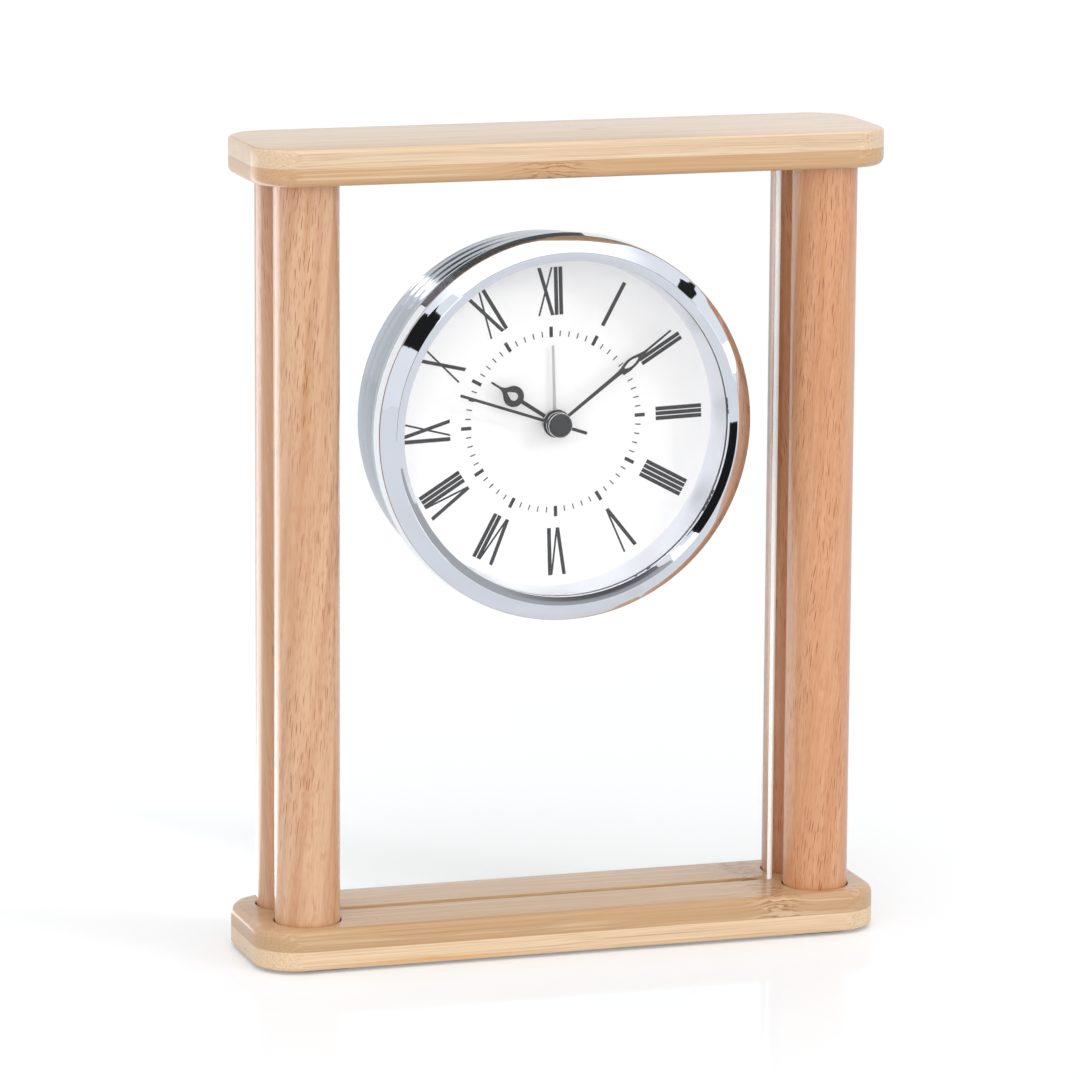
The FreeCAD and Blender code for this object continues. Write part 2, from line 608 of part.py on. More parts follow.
def make_hands():
    tops = hand_levels()

    y0 = tops["hour"]
    bar = slab(rectangle(-0.48, 1.0, 0.48, HOUR_RING), y0, y0 + HAND_T)
    loop = disc(HOUR_RING_R, y0, y0 + HAND_T, (0, HOUR_RING))
    spike = blade([
        (HOUR_RING + 0.6, 2.52), (HOUR_RING + 1.5, 2.08), (HOUR_RING + 2.3, 1.3), (HOUR_RING + 3.0, 0.66),
        (HOUR_RING + 3.8, 0.36), (HOUR_RING + 4.8, 0.27), (HOUR_LENGTH, 0.23)], y0)
    eye_z = HOUR_RING - 0.1
    eye = smooth_face([
        (0, eye_z - 1.05), (0.78, eye_z - 0.7), (1.02, eye_z + 0.1), (0.62, eye_z + 1.1),
        (0, eye_z + 2.0), (-0.62, eye_z + 1.1), (-1.02, eye_z + 0.1), (-0.78, eye_z - 0.7)], y0 - 1)
    eye = eye.extrude(Vec(0, 3, 0))
    bore = disc(tube_radius(2) + SEAT / 2, y0 - 1, y0 + 2)
    solid = fused([bar, loop, spike]).cut(eye)
    solid = fused([solid, hub(HUB_R, y0)])
    save("hour_hand", in_head(at_clock(solid.cut(bore), HOUR_AT)))

    y0 = tops["minute"]
    leaf = blade([
        (1.0, 0.36), (10.0, 0.41), (16.0, 0.45), (18.7, 0.48), (20.2, 0.62), (21.5, 0.96), (22.6, 1.2),
        (MINUTE_LEAF, 1.25), (24.6, 1.12), (25.8, 0.82), (27.0, 0.48), (28.2, 0.28), (30.0, 0.24),
        (33.0, 0.22), (MINUTE_LENGTH, 0.2)], y0)
    eye = smooth_face([
        (0, MINUTE_LEAF - 2.1), (0.5, MINUTE_LEAF - 1.3), (0.7, MINUTE_LEAF), (0.5, MINUTE_LEAF + 1.2),
        (0, MINUTE_LEAF + 2.2), (-0.5, MINUTE_LEAF + 1.2), (-0.7, MINUTE_LEAF),
        (-0.5, MINUTE_LEAF - 1.3)], y0 - 1).extrude(Vec(0, 3, 0))
    bore = disc(tube_radius(1) + SEAT / 2, y0 - 1, y0 + 2)
    solid = fused([leaf.cut(eye), hub(HUB_R - 0.5, y0)])
    save("minute_hand", in_head(at_clock(solid.cut(bore), MINUTE_AT)))

    y0 = tops["second"]
    baton = slab(rectangle(-0.35, 0, 0.35, SECOND_LENGTH, 0.1), y0, y0 + HAND_T)
    tail = slab(rectangle(-0.4, -SECOND_TAIL, 0.4, 1.0, 0.39), y0, y0 + HAND_T)
    bore = disc(tube_radius(0) + SEAT / 2, y0 - 1, y0 + 2)
    solid = fused([baton, tail, hub(CAP_R - 0.4, y0)])
    save("second_hand", in_head(at_clock(solid.cut(bore), SECOND_AT)))

    cap = turned([(0, y0 - 1.35, 0), (CAP_R - 0.9, y0 - 1.35, 1.0), (CAP_R, y0 - 0.75, 0.5),
                  (CAP_R, y0, 0), (0, y0, 0)])
    save("hub_cap", in_head(cap.cut(disc(tube_radius(0) + SEAT, y0 - 0.4, y0 + 1))))

    y0 = tops["alarm"]
    taper = blade([(1.0, 0.36), (ALARM_LENGTH, 0.25)], y0)
    bore = disc(tube_radius(3) + SEAT / 2, y0 - 1, y0 + 2)
    save("alarm_hand", in_head(at_clock(fused([taper, hub(HUB_R - 0.3, y0)]).cut(bore), ALARM_AT)))


# ---- movement body ------------------------------------------------------------------------------
def pivot_holes(shape, y0, y1):
    """Bearings for the shafts that turn in a plate."""
    for at in (ROTOR_AT, FAST_AT, THIRD_AT):
        shape = shape.cut(disc(PIVOT_R + PIVOT_PLAY, y0, y1, at))
    shape = shape.cut(disc(MOTION_PIVOT_R + PIVOT_PLAY, y0, y1, MOTION_AT))
    for at in (TIME_KNOB_AT, ALARM_KNOB_AT):
        shape = shape.cut(disc(SETTING_SHAFT_R + PIVOT_PLAY, y0, y1, at))
    return shape


def make_movement():
    outline = rectangle(-PLATE_HALF, PLATE_LOW, PLATE_HALF, PLATE_HIGH, PLATE_CORNER_R)
    plate = slab(outline, DIAL_BACK, PLATE_BACK)
    pillars = [disc(PILLAR_R, PLATE_BACK, BRIDGE_FRONT, at) for at in PILLAR_PLACES]
    plate = fused([plate] + pillars)
    plate = plate.cut(disc(tube_radius(3) + PIVOT_PLAY, DIAL_BACK - 1, PLATE_BACK + 1))
    plate = pivot_holes(plate, DIAL_BACK - 1, PLATE_BACK + 1)
    for at in PILLAR_PLACES:
        plate = plate.cut(disc(MOVEMENT_SCREW_R + SEAT, PLATE_BACK + 2.0, BRIDGE_FRONT + 1, at))
    save("movement_plate", in_head(plate))

    bridge = slab(outline, BRIDGE_FRONT, BRIDGE_BACK)
    bridge = bridge.cut(disc(tube_radius(0) + PIVOT_PLAY, BRIDGE_FRONT - 1, BRIDGE_BACK + 1))
    bridge = pivot_holes(bridge, BRIDGE_FRONT - 1, BRIDGE_BACK + 1)
    for at in PILLAR_PLACES:
        bridge = bridge.cut(disc(MOVEMENT_SCREW_R + 0.1, BRIDGE_FRONT - 1, BRIDGE_BACK + 1, at))
    coil_room = slab(rectangle(-6.5, COIL_Z - COIL_R - 0.7, 16.5, PLATE_HIGH + 1), BRIDGE_FRONT - 1,
                     BRIDGE_BACK + 1)
    save("movement_bridge", in_head(bridge.cut(coil_room)))

    stator_y = level(6) + WHEEL_T + 0.3
    outline_low = FAST_AT[1] + 2.6
    stator_outline = rectangle(STATOR_LEFT, outline_low, STATOR_RIGHT, COIL_Z + 1.6, 0.8)
    stator = slab(stator_outline, stator_y, stator_y + STATOR_T)
    stator = stator.cut(slab(rectangle(-5.0, COIL_Z - 5.2, 15.0, COIL_Z + 3), stator_y - 1, stator_y + 2))
    stator = stator.cut(disc(MAGNET_R + 0.4, stator_y - 1, stator_y + 2, ROTOR_AT))
    seats = [disc(1.2, stator_y + STATOR_T, BRIDGE_FRONT, at) for at in ((-7.0, 14.5), (17.0, 14.5))]
    save("stator", in_head(fused([stator] + seats)))
    core_y = stator_y - STATOR_T
    core_outline = rectangle(STATOR_LEFT, COIL_Z - CORE_HALF, STATOR_RIGHT, COIL_Z + CORE_HALF, 0.4)
    save("coil_core", in_head(slab(core_outline, core_y, stator_y)))
    coil_y = core_y + STATOR_T / 2
    coil = Part.makeCylinder(COIL_R, COIL_LENGTH, Vec(COIL_START, coil_y, COIL_Z), Vec(1, 0, 0))
    for x in (COIL_START, COIL_START + COIL_LENGTH - CHEEK_T):
        cheek = Part.makeCylinder(COIL_R + 0.5, CHEEK_T, Vec(x, coil_y, COIL_Z), Vec(1, 0, 0))
        coil = coil.fuse(cheek)
    room_half = CORE_HALF + SEAT
    room = slab(rectangle(-10, COIL_Z - room_half, 20, COIL_Z + room_half), core_y - SEAT, stator_y + SEAT)
    save("coil", in_head(coil.removeSplitter().cut(room)))

    board_y = BRIDGE_BACK
    circuit = slab(rectangle(-18.0, 14.2, 18.0, 21.0, 0.5), board_y, board_y + 0.8)
    circuit = circuit.cut(disc(1.0, board_y - 1, board_y + 2, ROTOR_AT))
    save("circuit_board", in_head(circuit))
    chip = turned([(0, 0, 0), (2.6, 0, 0), (2.6, 0.6, 0.4), (0, 0.9, 0)])
    chip.translate(Vec(-8.0, board_y + 0.8, 17.6))
    save("timing_chip", in_head(chip))
    crystal_can = Part.makeCylinder(0.9, 6.0, Vec(7.0, board_y + 0.8 + 0.9 + SEAT, 17.6), Vec(1, 0, 0))
    save("timing_crystal", in_head(crystal_can))


# ---- rear cover, battery and switch -------------------------------------------------------------
BAY_HALF = (CELL_LENGTH + CELL_ROOM) / 2
BAY_HIGH = PLATE_LOW - BAY_GAP - BAY_WALL
CELL_Z = BAY_HIGH - CELL_PLAY - CELL_R
BAY_LOW = CELL_Z - CELL_R - CELL_PLAY
HINGE_Y = COVER_BACK - HINGE_R
HINGE_Z = BAY_LOW + DOOR_PLAY + HINGE_R


def pocket(play, y0, y1):
    """The long recess that both setting knobs sit in."""
    radius = KNOB_R + POCKET_PLAY + play
    left = ALARM_KNOB_AT[0]
    right = TIME_KNOB_AT[0]
    return slab(rectangle(left - radius, KNOB_Z - radius, right + radius, KNOB_Z + radius, radius - 0.01),
                y0, y1)


def make_cover():
    cover = disc(DRUM_INNER_R - SEAT, COVER_INNER, COVER_BACK)
    tub = pocket(0.8, POCKET_FLOOR - POCKET_FLOOR_T, COVER_INNER)
    posts = [disc(2.4, BRIDGE_BACK, COVER_INNER, at) for at in PILLAR_PLACES]
    bay_out = BAY_HALF + BAY_WALL
    bay = rectangle(-bay_out, BAY_LOW - BAY_WALL, bay_out, BAY_HIGH + BAY_WALL)
    rails = [slab(rectangle(-8.5, z, 8.5, z + 0.8), COVER_INNER - 1.2, COVER_INNER)
             for z in (SWITCH_Z - 3.9, SWITCH_Z + 3.1)]
    cover = fused([cover, tub, slab(bay, DIAL_BACK, COVER_INNER)] + posts + rails)
    cover = cover.cut(pocket(0, POCKET_FLOOR, COVER_BACK + 1))
    cover = cover.cut(slab(rectangle(-BAY_HALF, BAY_LOW, BAY_HALF, BAY_HIGH), BAY_FRONT, COVER_BACK + 1))
    for at in (TIME_KNOB_AT, ALARM_KNOB_AT):
        cover = cover.cut(disc(SETTING_SHAFT_R + 0.1, BRIDGE_BACK, COVER_BACK, at))
    for at in PILLAR_PLACES:
        cover = cover.cut(disc(MOVEMENT_SCREW_R + 0.1, BRIDGE_BACK - 1, COVER_BACK + 1, at))
        cover = cover.cut(disc(1.9, COVER_BACK - 1.5, COVER_BACK + 1, at))
    slot_half = SWITCH_TRAVEL / 2 + SWITCH_GRIP / 2 + 0.3
    cover = cover.cut(slab(rectangle(-slot_half, SWITCH_Z - 1.9, slot_half, SWITCH_Z + 1.9, 0.5),
                           COVER_INNER - 1, COVER_BACK + 1))
    for side in (-1, 1):
        start = Vec(side * BAY_HALF - 1.2, HINGE_Y, HINGE_Z)
        cover = cover.cut(Part.makeCylinder(HINGE_PIN_R + PIVOT_PLAY, 2.4, start, Vec(1, 0, 0)))
    sound = [BUZZER_AT] + [(BUZZER_AT[0] + dx, BUZZER_AT[1] + dz)
                           for dx, dz in (polar(SOUND_RING_R, 60 * i) for i in range(6))]
    for at in sound:
        cover = cover.cut(disc(SOUND_HOLE_R, COVER_INNER - 1, COVER_BACK + 1, at))
    thumb_notch = disc(NOTCH_R, COVER_BACK - NOTCH_DEPTH, COVER_BACK + 1, (0, BAY_HIGH - 2.0))
    save("rear_cover", in_head(cover.cut(thumb_notch)))


def make_cover_fittings():
    screws = []
    for at in PILLAR_PLACES:
        head = disc(1.7, COVER_BACK - 1.5, COVER_BACK - 0.3, at)
        shank = disc(MOVEMENT_SCREW_R, PLATE_BACK + 3.0, COVER_BACK - 1.4, at)
        cut_line = rectangle(at[0] - 1.1, at[1] - 0.2, at[0] + 1.1, at[1] + 0.2)
        drive = slab(cut_line, COVER_BACK - 0.8, COVER_BACK)
        screws.append(in_head(head.fuse(shank).cut(drive)))
    save("cover_screws", screws)

    buzzer = turned([(0, 0, 0), (BUZZER_R, 0, 0.4), (BUZZER_R, BUZZER_T, 0), (0, BUZZER_T, 0)])
    buzzer.translate(Vec(BUZZER_AT[0], COVER_INNER - BUZZER_T, BUZZER_AT[1]))
    port = disc(4.2, COVER_INNER - 1.0, COVER_INNER + 1, BUZZER_AT)
    save("buzzer", in_head(buzzer.cut(port)))

    rest_x = -SWITCH_TRAVEL / 2
    plate = slab(rectangle(rest_x - 5.5, SWITCH_Z - 2.9, rest_x + 5.5, SWITCH_Z + 2.9, 0.5),
                 COVER_INNER - 1.1, COVER_INNER - 0.1)
    grip_half = SWITCH_GRIP / 2
    grip = slab(rectangle(rest_x - grip_half, SWITCH_Z - 1.6, rest_x + grip_half, SWITCH_Z + 1.6, 0.4),
                COVER_INNER - 0.6, COVER_BACK + 0.2)
    save("alarm_switch", in_head(fused([plate, grip])))

    door_low = HINGE_Z
    door_high = BAY_HIGH - DOOR_PLAY
    half = BAY_HALF - DOOR_PLAY
    panel = slab(rectangle(-half, door_low, half, door_high), COVER_BACK - 2 * HINGE_R, COVER_BACK)
    barrel = Part.makeCylinder(HINGE_R, 2 * half, Vec(-half, HINGE_Y, HINGE_Z), Vec(1, 0, 0))
    pin_half = half + 0.9
    pins = Part.makeCylinder(HINGE_PIN_R, 2 * pin_half, Vec(-pin_half, HINGE_Y, HINGE_Z), Vec(1, 0, 0))
    door = fused([panel, barrel, pins])
    for i in range(4):
        groove_z = door_high - 1.6 - GROOVE_PITCH * i
        groove = rectangle(-NOTCH_R, groove_z, NOTCH_R, groove_z + 0.4)
        door = door.cut(slab(groove, COVER_BACK - GROOVE_DEPTH, COVER_BACK + 1))
    save("battery_door", in_head(door))


def make_battery():
    positive_x = BAY_HALF - 0.4
    body_end = positive_x - 1.2
    body_start = positive_x - CELL_LENGTH
    can = Part.makeCylinder(CELL_R, body_end - body_start, Vec(body_start, CELL_Y, CELL_Z), Vec(1, 0, 0))
    nub = Part.makeCylinder(2.7, 1.2, Vec(body_end, CELL_Y, CELL_Z), Vec(1, 0, 0))
    save("battery", in_head(can.fuse(nub)))
    positive = Part.makeBox(0.4, 9.0, 10.0, Vec(positive_x, CELL_Y - 4.5, CELL_Z - 5.0))
    save("battery_contact_positive", in_head(positive))
    room = body_start + BAY_HALF
    tip = room - 0.02
    bends = [(0, -4.0), (0.4, -4.0), (0.4, 2.5), (tip - 0.4, -0.1), (tip - 0.4, -1.6), (tip, -1.6),
             (tip, 0.1), (0.4, 3.1), (0.4, 4.0), (0, 4.0)]
    corners = [(x - BAY_HALF, z + CELL_Z, 0) for x, z in bends]
    save("battery_contact_negative", in_head(slab(corners, CELL_Y - 3.0, CELL_Y + 3.0)))


make_frame()
make_pane()
make_shell()
make_train()
make_hands()
make_movement()
make_cover()
make_cover_fittings()
make_battery()
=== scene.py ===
"""A desk clock: a round chrome head in a glass pane, which stands in a frame of bamboo and beech.

Shapes are worked out in millimetres, and skin() turns them into the scene's metres. What belongs to the
clock head is drawn about its own axis, with x to the reader's right, y away from the reader and z
towards twelve o'clock, and in_head() then leans it and lifts it to its place in the pane.
"""

import json
import math

import bmesh
import bpy
import numpy as np
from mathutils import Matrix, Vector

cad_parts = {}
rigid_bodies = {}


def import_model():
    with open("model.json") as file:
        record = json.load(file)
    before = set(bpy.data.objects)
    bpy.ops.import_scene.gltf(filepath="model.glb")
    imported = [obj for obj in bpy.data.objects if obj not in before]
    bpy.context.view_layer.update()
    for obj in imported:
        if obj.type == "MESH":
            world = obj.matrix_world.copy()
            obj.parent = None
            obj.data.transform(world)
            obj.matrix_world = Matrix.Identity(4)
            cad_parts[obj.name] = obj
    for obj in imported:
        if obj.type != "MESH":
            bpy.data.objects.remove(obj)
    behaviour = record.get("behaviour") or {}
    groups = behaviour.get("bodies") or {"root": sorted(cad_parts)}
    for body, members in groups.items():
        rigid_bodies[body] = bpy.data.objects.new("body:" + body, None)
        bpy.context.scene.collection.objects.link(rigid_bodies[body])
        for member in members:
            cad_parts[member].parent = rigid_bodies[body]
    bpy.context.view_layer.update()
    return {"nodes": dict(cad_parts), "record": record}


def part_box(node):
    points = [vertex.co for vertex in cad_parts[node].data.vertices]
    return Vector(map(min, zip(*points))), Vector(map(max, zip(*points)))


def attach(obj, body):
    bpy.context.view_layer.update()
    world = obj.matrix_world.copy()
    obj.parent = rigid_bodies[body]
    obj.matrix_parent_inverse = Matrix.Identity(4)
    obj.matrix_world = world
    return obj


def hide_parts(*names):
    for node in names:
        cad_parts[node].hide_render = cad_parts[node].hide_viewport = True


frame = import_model()
MM = 0.001

# ---- camera -------------------------------------------------------------------------------------
CAMERA_AZIMUTH = -17.56
CAMERA_ELEVATION = 10.98
CAMERA_ROLL = 0.343
CAMERA_DISTANCE = 1470.4
CAMERA_TARGET = (-4.09, 0.0, 99.66)
CAMERA_LENS = 200.8
CAMERA_SENSOR = 36.0


def outward(azimuth, elevation):
    """Direction from the clock to a place round it: azimuth 0 is before the dial, 90 to its right."""
    a, e = math.radians(azimuth), math.radians(elevation)
    return np.array([math.sin(a) * math.cos(e), -math.cos(a) * math.cos(e), math.sin(e)])


def facing(back, roll=0.0):
    """Axes of a thing that looks along -back: its right, its up and back, as the columns of a matrix."""
    right = np.cross(-back, (0.0, 0.0, 1.0))
    right /= np.linalg.norm(right)
    up = np.cross(right, -back)
    c, s = math.cos(math.radians(roll)), math.sin(math.radians(roll))
    return np.column_stack([right * c + up * s, up * c - right * s, back])


def put(obj, axes, place):
    """Link an object that isn't part of the clock, turned to its axes, at a place in millimetres."""
    matrix = np.eye(4)
    matrix[:3, :3] = axes
    matrix[:3, 3] = np.array(place) * MM
    bpy.context.scene.collection.objects.link(obj)
    obj.matrix_world = matrix.T.tolist()
    return obj


def make_camera():
    """A long lens at the place that its angles and distance give, looking at its target."""
    camera = bpy.data.cameras.new("camera")
    camera.sensor_width = CAMERA_SENSOR
    camera.lens = CAMERA_LENS
    camera.clip_end = 100.0
    back = outward(CAMERA_AZIMUTH, CAMERA_ELEVATION)
    place = np.array(CAMERA_TARGET) + back * CAMERA_DISTANCE
    obj = put(bpy.data.objects.new("camera", camera), facing(back, CAMERA_ROLL), place)
    bpy.context.scene.camera = obj


make_camera()
bpy.context.scene.view_settings.view_transform = "Standard"


# ---- sizes from the frame -----------------------------------------------------------------------
def corners(node):
    """Lowest and highest corner of a CAD node, in millimetres."""
    low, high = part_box(node)
    return np.array(low) / MM, np.array(high) / MM


HEAD_LEAN = math.radians(-1.8)
BEZEL_LOW, BEZEL_HIGH = corners("bezel")
DRUM_LOW, DRUM_HIGH = corners("case_drum")
DIAL_LOW, DIAL_HIGH = corners("dial")
RING_LOW, RING_HIGH = corners("spacer_ring")
CRYSTAL_LOW, CRYSTAL_HIGH = corners("crystal")
BASE_LOW, BASE_HIGH = corners("base_board")
TOP_LOW, TOP_HIGH = corners("top_board")
PANE_LOW, PANE_HIGH = corners("glass_pane")
COLUMN_NAMES = ["column_front_left", "column_front_right", "column_rear_left", "column_rear_right"]
COLUMN_LOW, COLUMN_HIGH = corners("column_rear_right")
HEAD_Z = (BEZEL_LOW[2] + BEZEL_HIGH[2]) / 2
BEZEL_R = (BEZEL_HIGH[0] - BEZEL_LOW[0]) / 2
FLANGE_R = (DRUM_HIGH[0] - DRUM_LOW[0]) / 2
FLANGE_LIP = 2.3             # how far the flange stands out past the drum
DRUM_R = FLANGE_R - FLANGE_LIP
DRUM_WALL = 0.9
DIAL_R = (DIAL_HIGH[0] - DIAL_LOW[0]) / 2
CRYSTAL_R = (CRYSTAL_HIGH[0] - CRYSTAL_LOW[0]) / 2
CRYSTAL_SEAT = 1.7           # how far the crystal reaches under the bezel
BORE_R = CRYSTAL_R - CRYSTAL_SEAT
SOCKET_PLAY = 0.3
SOCKET_DEPTH = 4.0
SLOT_PLAY = 0.2
SLEEVE = 0.9                 # between the drum and the pane's hole
MOUTH_FLARE = 0.12           # eased edge at the mouth of a socket or a slot
CORNER_R = 11.0
BASE_ROUNDS = (1.0, 2.2)     # radius of a board's lower and upper edge
TOP_ROUNDS = (1.8, 1.0)
COLUMN_EASE = 0.25
FELT_CORNER_R = 9.0
FELT_EDGE = 0.1
PANE_BEVEL = 0.6
PANE_RAYS = 64               # rays from the hole to each side of the pane


# ---- shapes -------------------------------------------------------------------------------------
def rounded(outline, pitch=0.5, arc_steps=8):
    """Points along an outline of (u, v, radius) corners.

    A corner with a radius is the arc that touches both of its sides: centre - inward * radius, turned
    through the angle between the sides. Straight runs are divided evenly, at most pitch apart.
    """
    count = len(outline)
    points = np.array([(u, v) for u, v, _ in outline], float)
    bits = []
    for i in range(count):
        here = points[i]
        into = here - points[i - 1]
        out = points[(i + 1) % count] - here
        into, out = into / np.linalg.norm(into), out / np.linalg.norm(out)
        turn = math.acos(np.clip(into @ out, -1, 1))
        radius = outline[i][2]
        if radius <= 0 or turn < 1e-6:
            bits.append(here[None])
            continue
        inward = (out - into) / np.linalg.norm(out - into)
        centre = here + inward * radius / math.cos(turn / 2)
        sweep = np.linspace(-turn / 2, turn / 2, arc_steps + 1)[:, None]
        along = (into + out) / np.linalg.norm(into + out)
        bits.append(centre - inward * radius * np.cos(sweep) + along * radius * np.sin(sweep))
    runs = []
    for i in range(count):
        start, end = bits[i][-1], bits[(i + 1) % count][0]
        pieces = max(1, math.ceil(np.linalg.norm(end - start) / pitch))
        share = np.arange(1, pieces)[:, None] / pieces
        runs += [bits[i], start + (end - start) * share]
    return np.concatenate(runs)


def skin(name, grid, closed_rows=True, closed_columns=True, caps=False):
    """A mesh whose faces are the cells of a grid of points (rows, columns, xyz), in millimetres.

    A closed direction joins its last line of points to its first. Caps fill the first and the last row.
    """
    rows, columns = grid.shape[:2]
    index = np.arange(rows * columns).reshape(rows, columns)
    ends = [index[0, ::-1].tolist(), index[-1].tolist()] if caps else []
    if closed_rows:
        index = np.vstack([index, index[:1]])
    if closed_columns:
        index = np.hstack([index, index[:, :1]])
    cells = np.stack([index[:-1, :-1], index[:-1, 1:], index[1:, 1:], index[1:, :-1]], axis=-1)
    mesh = bpy.data.meshes.new(name)
    mesh.from_pydata((grid.reshape(-1, 3) * MM).tolist(), [], cells.reshape(-1, 4).tolist() + ends)
    return mesh


def merged(name, meshes):
    """One mesh from several, which are used up."""
    together = bmesh.new()
    for mesh in meshes:
        together.from_mesh(mesh)
        bpy.data.meshes.remove(mesh)
    mesh = bpy.data.meshes.new(name)
    together.to_mesh(mesh)
    together.free()
    return mesh


def tidy(mesh, crease=32.0):
    """Close seams and poles, turn faces outward, and shade smooth up to the crease angle, in degrees."""
    work = bmesh.new()
    work.from_mesh(mesh)
    bmesh.ops.remove_doubles(work, verts=work.verts, dist=1e-7)
    bmesh.ops.recalc_face_normals(work, faces=work.faces)
    work.to_mesh(mesh)
    work.free()
    mesh.shade_smooth()
    mesh.set_sharp_from_angle(angle=math.radians(crease))
    return mesh


def in_head(points):
    """From the head's own axes to the clock's: a turn by the lean about y, then a lift."""
    c, s = math.cos(HEAD_LEAN), math.sin(HEAD_LEAN)
    x, y, z = points[..., 0], points[..., 1], points[..., 2]
    return np.stack([x * c + z * s, y, z * c - x * s + HEAD_Z], axis=-1)


def turned(name, section, around=256, closed=True):
    """A section of (radius, y) points turned about the head's axis: (r sin a, y, r cos a).

    A section that isn't closed starts and ends on the axis.
    """
    a = np.arange(around) / around * 2 * math.pi
    r, y = section[:, 0, None], section[:, 1, None]
    grid = np.stack([r * np.sin(a), y + 0 * a, r * np.cos(a)], axis=-1)
    return skin(name, in_head(grid), closed_rows=closed)


def upright(name, section, centre, around=128):
    """A section of (radius, z) points turned about a vertical axis, from pole to pole."""
    a = np.arange(around) / around * 2 * math.pi
    r, z = section[:, 0, None], section[:, 1, None]
    grid = np.stack([centre[0] + r * np.cos(a), centre[1] + r * np.sin(a), z + 0 * a], axis=-1)
    return skin(name, grid, closed_rows=False)


def round_box(name, half, corner, heights, insets, centre=(0.0, 0.0), pitch=4.0, arc_steps=20):
    """A plate with round corners: at each height the plan is the core rectangle grown by corner - inset.

    A plan point is core + (corner - inset) * direction, where the direction turns only at the corners.
    """
    core = np.array(half) - corner
    spots, turns = [], []
    for i, (sx, sy) in enumerate(((1, 1), (-1, 1), (-1, -1), (1, -1))):
        angle = np.radians(90 * i + np.linspace(0, 90, arc_steps + 1))
        spots.append(np.repeat([[sx * core[0], sy * core[1]]], len(angle), axis=0))
        turns.append(np.stack([np.cos(angle), np.sin(angle)], axis=-1))
        side = np.array([(-2 * core[0], 0), (0, -2 * core[1]), (2 * core[0], 0), (0, 2 * core[1])][i])
        pieces = max(1, round(np.abs(side).sum() / pitch))
        share = np.arange(1, pieces)[:, None] / pieces
        spots.append(spots[-1][-1] + side * share)
        turns.append(np.repeat(turns[-1][-1:], pieces - 1, axis=0))
    spot, turn = np.concatenate(spots), np.concatenate(turns)
    heights, insets = np.array(heights)[:, None], np.array(insets)[:, None, None]
    plan = np.array(centre) + spot + (corner - insets) * turn
    z = np.repeat(heights, plan.shape[1], axis=1)
    return skin(name, np.concatenate([plan, z[..., None]], axis=-1), closed_rows=False, caps=True)


def eased(low, high, lower_round, upper_round, steps=8):
    """Heights and insets of a plate whose lower and upper edges are quarter rounds."""
    t = np.linspace(0, math.pi / 2, steps + 1)
    middle = np.linspace(0, 1, 6)[1:-1]
    start, end = low + lower_round, high - upper_round
    heights = np.concatenate([start - lower_round * np.cos(t), start + (end - start) * middle,
                              end + upper_round * np.sin(t)])
    insets = np.concatenate([lower_round * (1 - np.sin(t)), 0 * middle, upper_round * (1 - np.cos(t))])
    return heights, insets


def cut(mesh, tools):
    """The mesh with closed tool shapes taken out of it."""
    scene = bpy.context.scene.collection.objects
    block = bpy.data.objects.new("block", tidy(mesh))
    scene.link(block)
    helpers = [bpy.data.objects.new("tool", tidy(tool)) for tool in tools]
    for helper in helpers:
        scene.link(helper)
        bite = block.modifiers.new("bite", "BOOLEAN")
        bite.solver = "EXACT"
        bite.object = helper
    result = bpy.data.meshes.new_from_object(block.evaluated_get(bpy.context.evaluated_depsgraph_get()))
    result.name = mesh.name
    for obj in [block] + helpers:
        used = obj.data
        bpy.data.objects.remove(obj)
        bpy.data.meshes.remove(used)
    return result


def piece(mesh, body, finish, stands_for=(), crease=32.0):
    """Put a finished mesh into the clock: tidy, with its material, riding on its body."""
    obj = bpy.data.objects.new(mesh.name, tidy(mesh, crease))
    bpy.context.scene.collection.objects.link(obj)
    obj.data.materials.clear()
    obj.data.materials.append(finish)
    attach(obj, body)
    if stands_for:
        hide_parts(*stands_for)
    return obj


# ---- finishes -----------------------------------------------------------------------------------
def shade(red, green, blue):
    """A colour from its 0 to 255 screen values, as the linear values that shaders use."""
    c = np.array([red, green, blue]) / 255
    linear = np.where(c <= 0.04045, c / 12.92, ((c + 0.055) / 1.055) ** 2.4)
    return (*map(float, linear), 1.0)


WHITE = (1.0, 1.0, 1.0, 1.0)
ROOM_WHITE = (0.92, 0.945, 1.0, 1.0)         # what polished metal mirrors of the bright room
SATIN_OIL = {"ior": 1.45, "coat_weight": 0.75, "coat_roughness": 0.2, "coat_ior": 1.45}
LACQUER = {"ior": 1.45, "coat_weight": 0.8, "coat_roughness": 0.14, "coat_ior": 1.6}


def dimmed(colour, share):
    """A colour with its red, green and blue times a share."""
    return tuple(c * share for c in colour[:3]) + (1.0,)


class Wire:
    """A value in a finish. Arithmetic on it adds Math nodes."""

    def __init__(self, finish, socket):
        self.finish = finish
        self.socket = socket

    def __add__(self, other):
        return self.finish.math("ADD", self, other)

    def __sub__(self, other):
        return self.finish.math("SUBTRACT", self, other)

    def __rsub__(self, other):
        return self.finish.math("SUBTRACT", other, self)

    def __mul__(self, other):
        return self.finish.math("MULTIPLY", self, other)

    def __truediv__(self, other):
        return self.finish.math("DIVIDE", self, other)

    __radd__ = __add__
    __rmul__ = __mul__


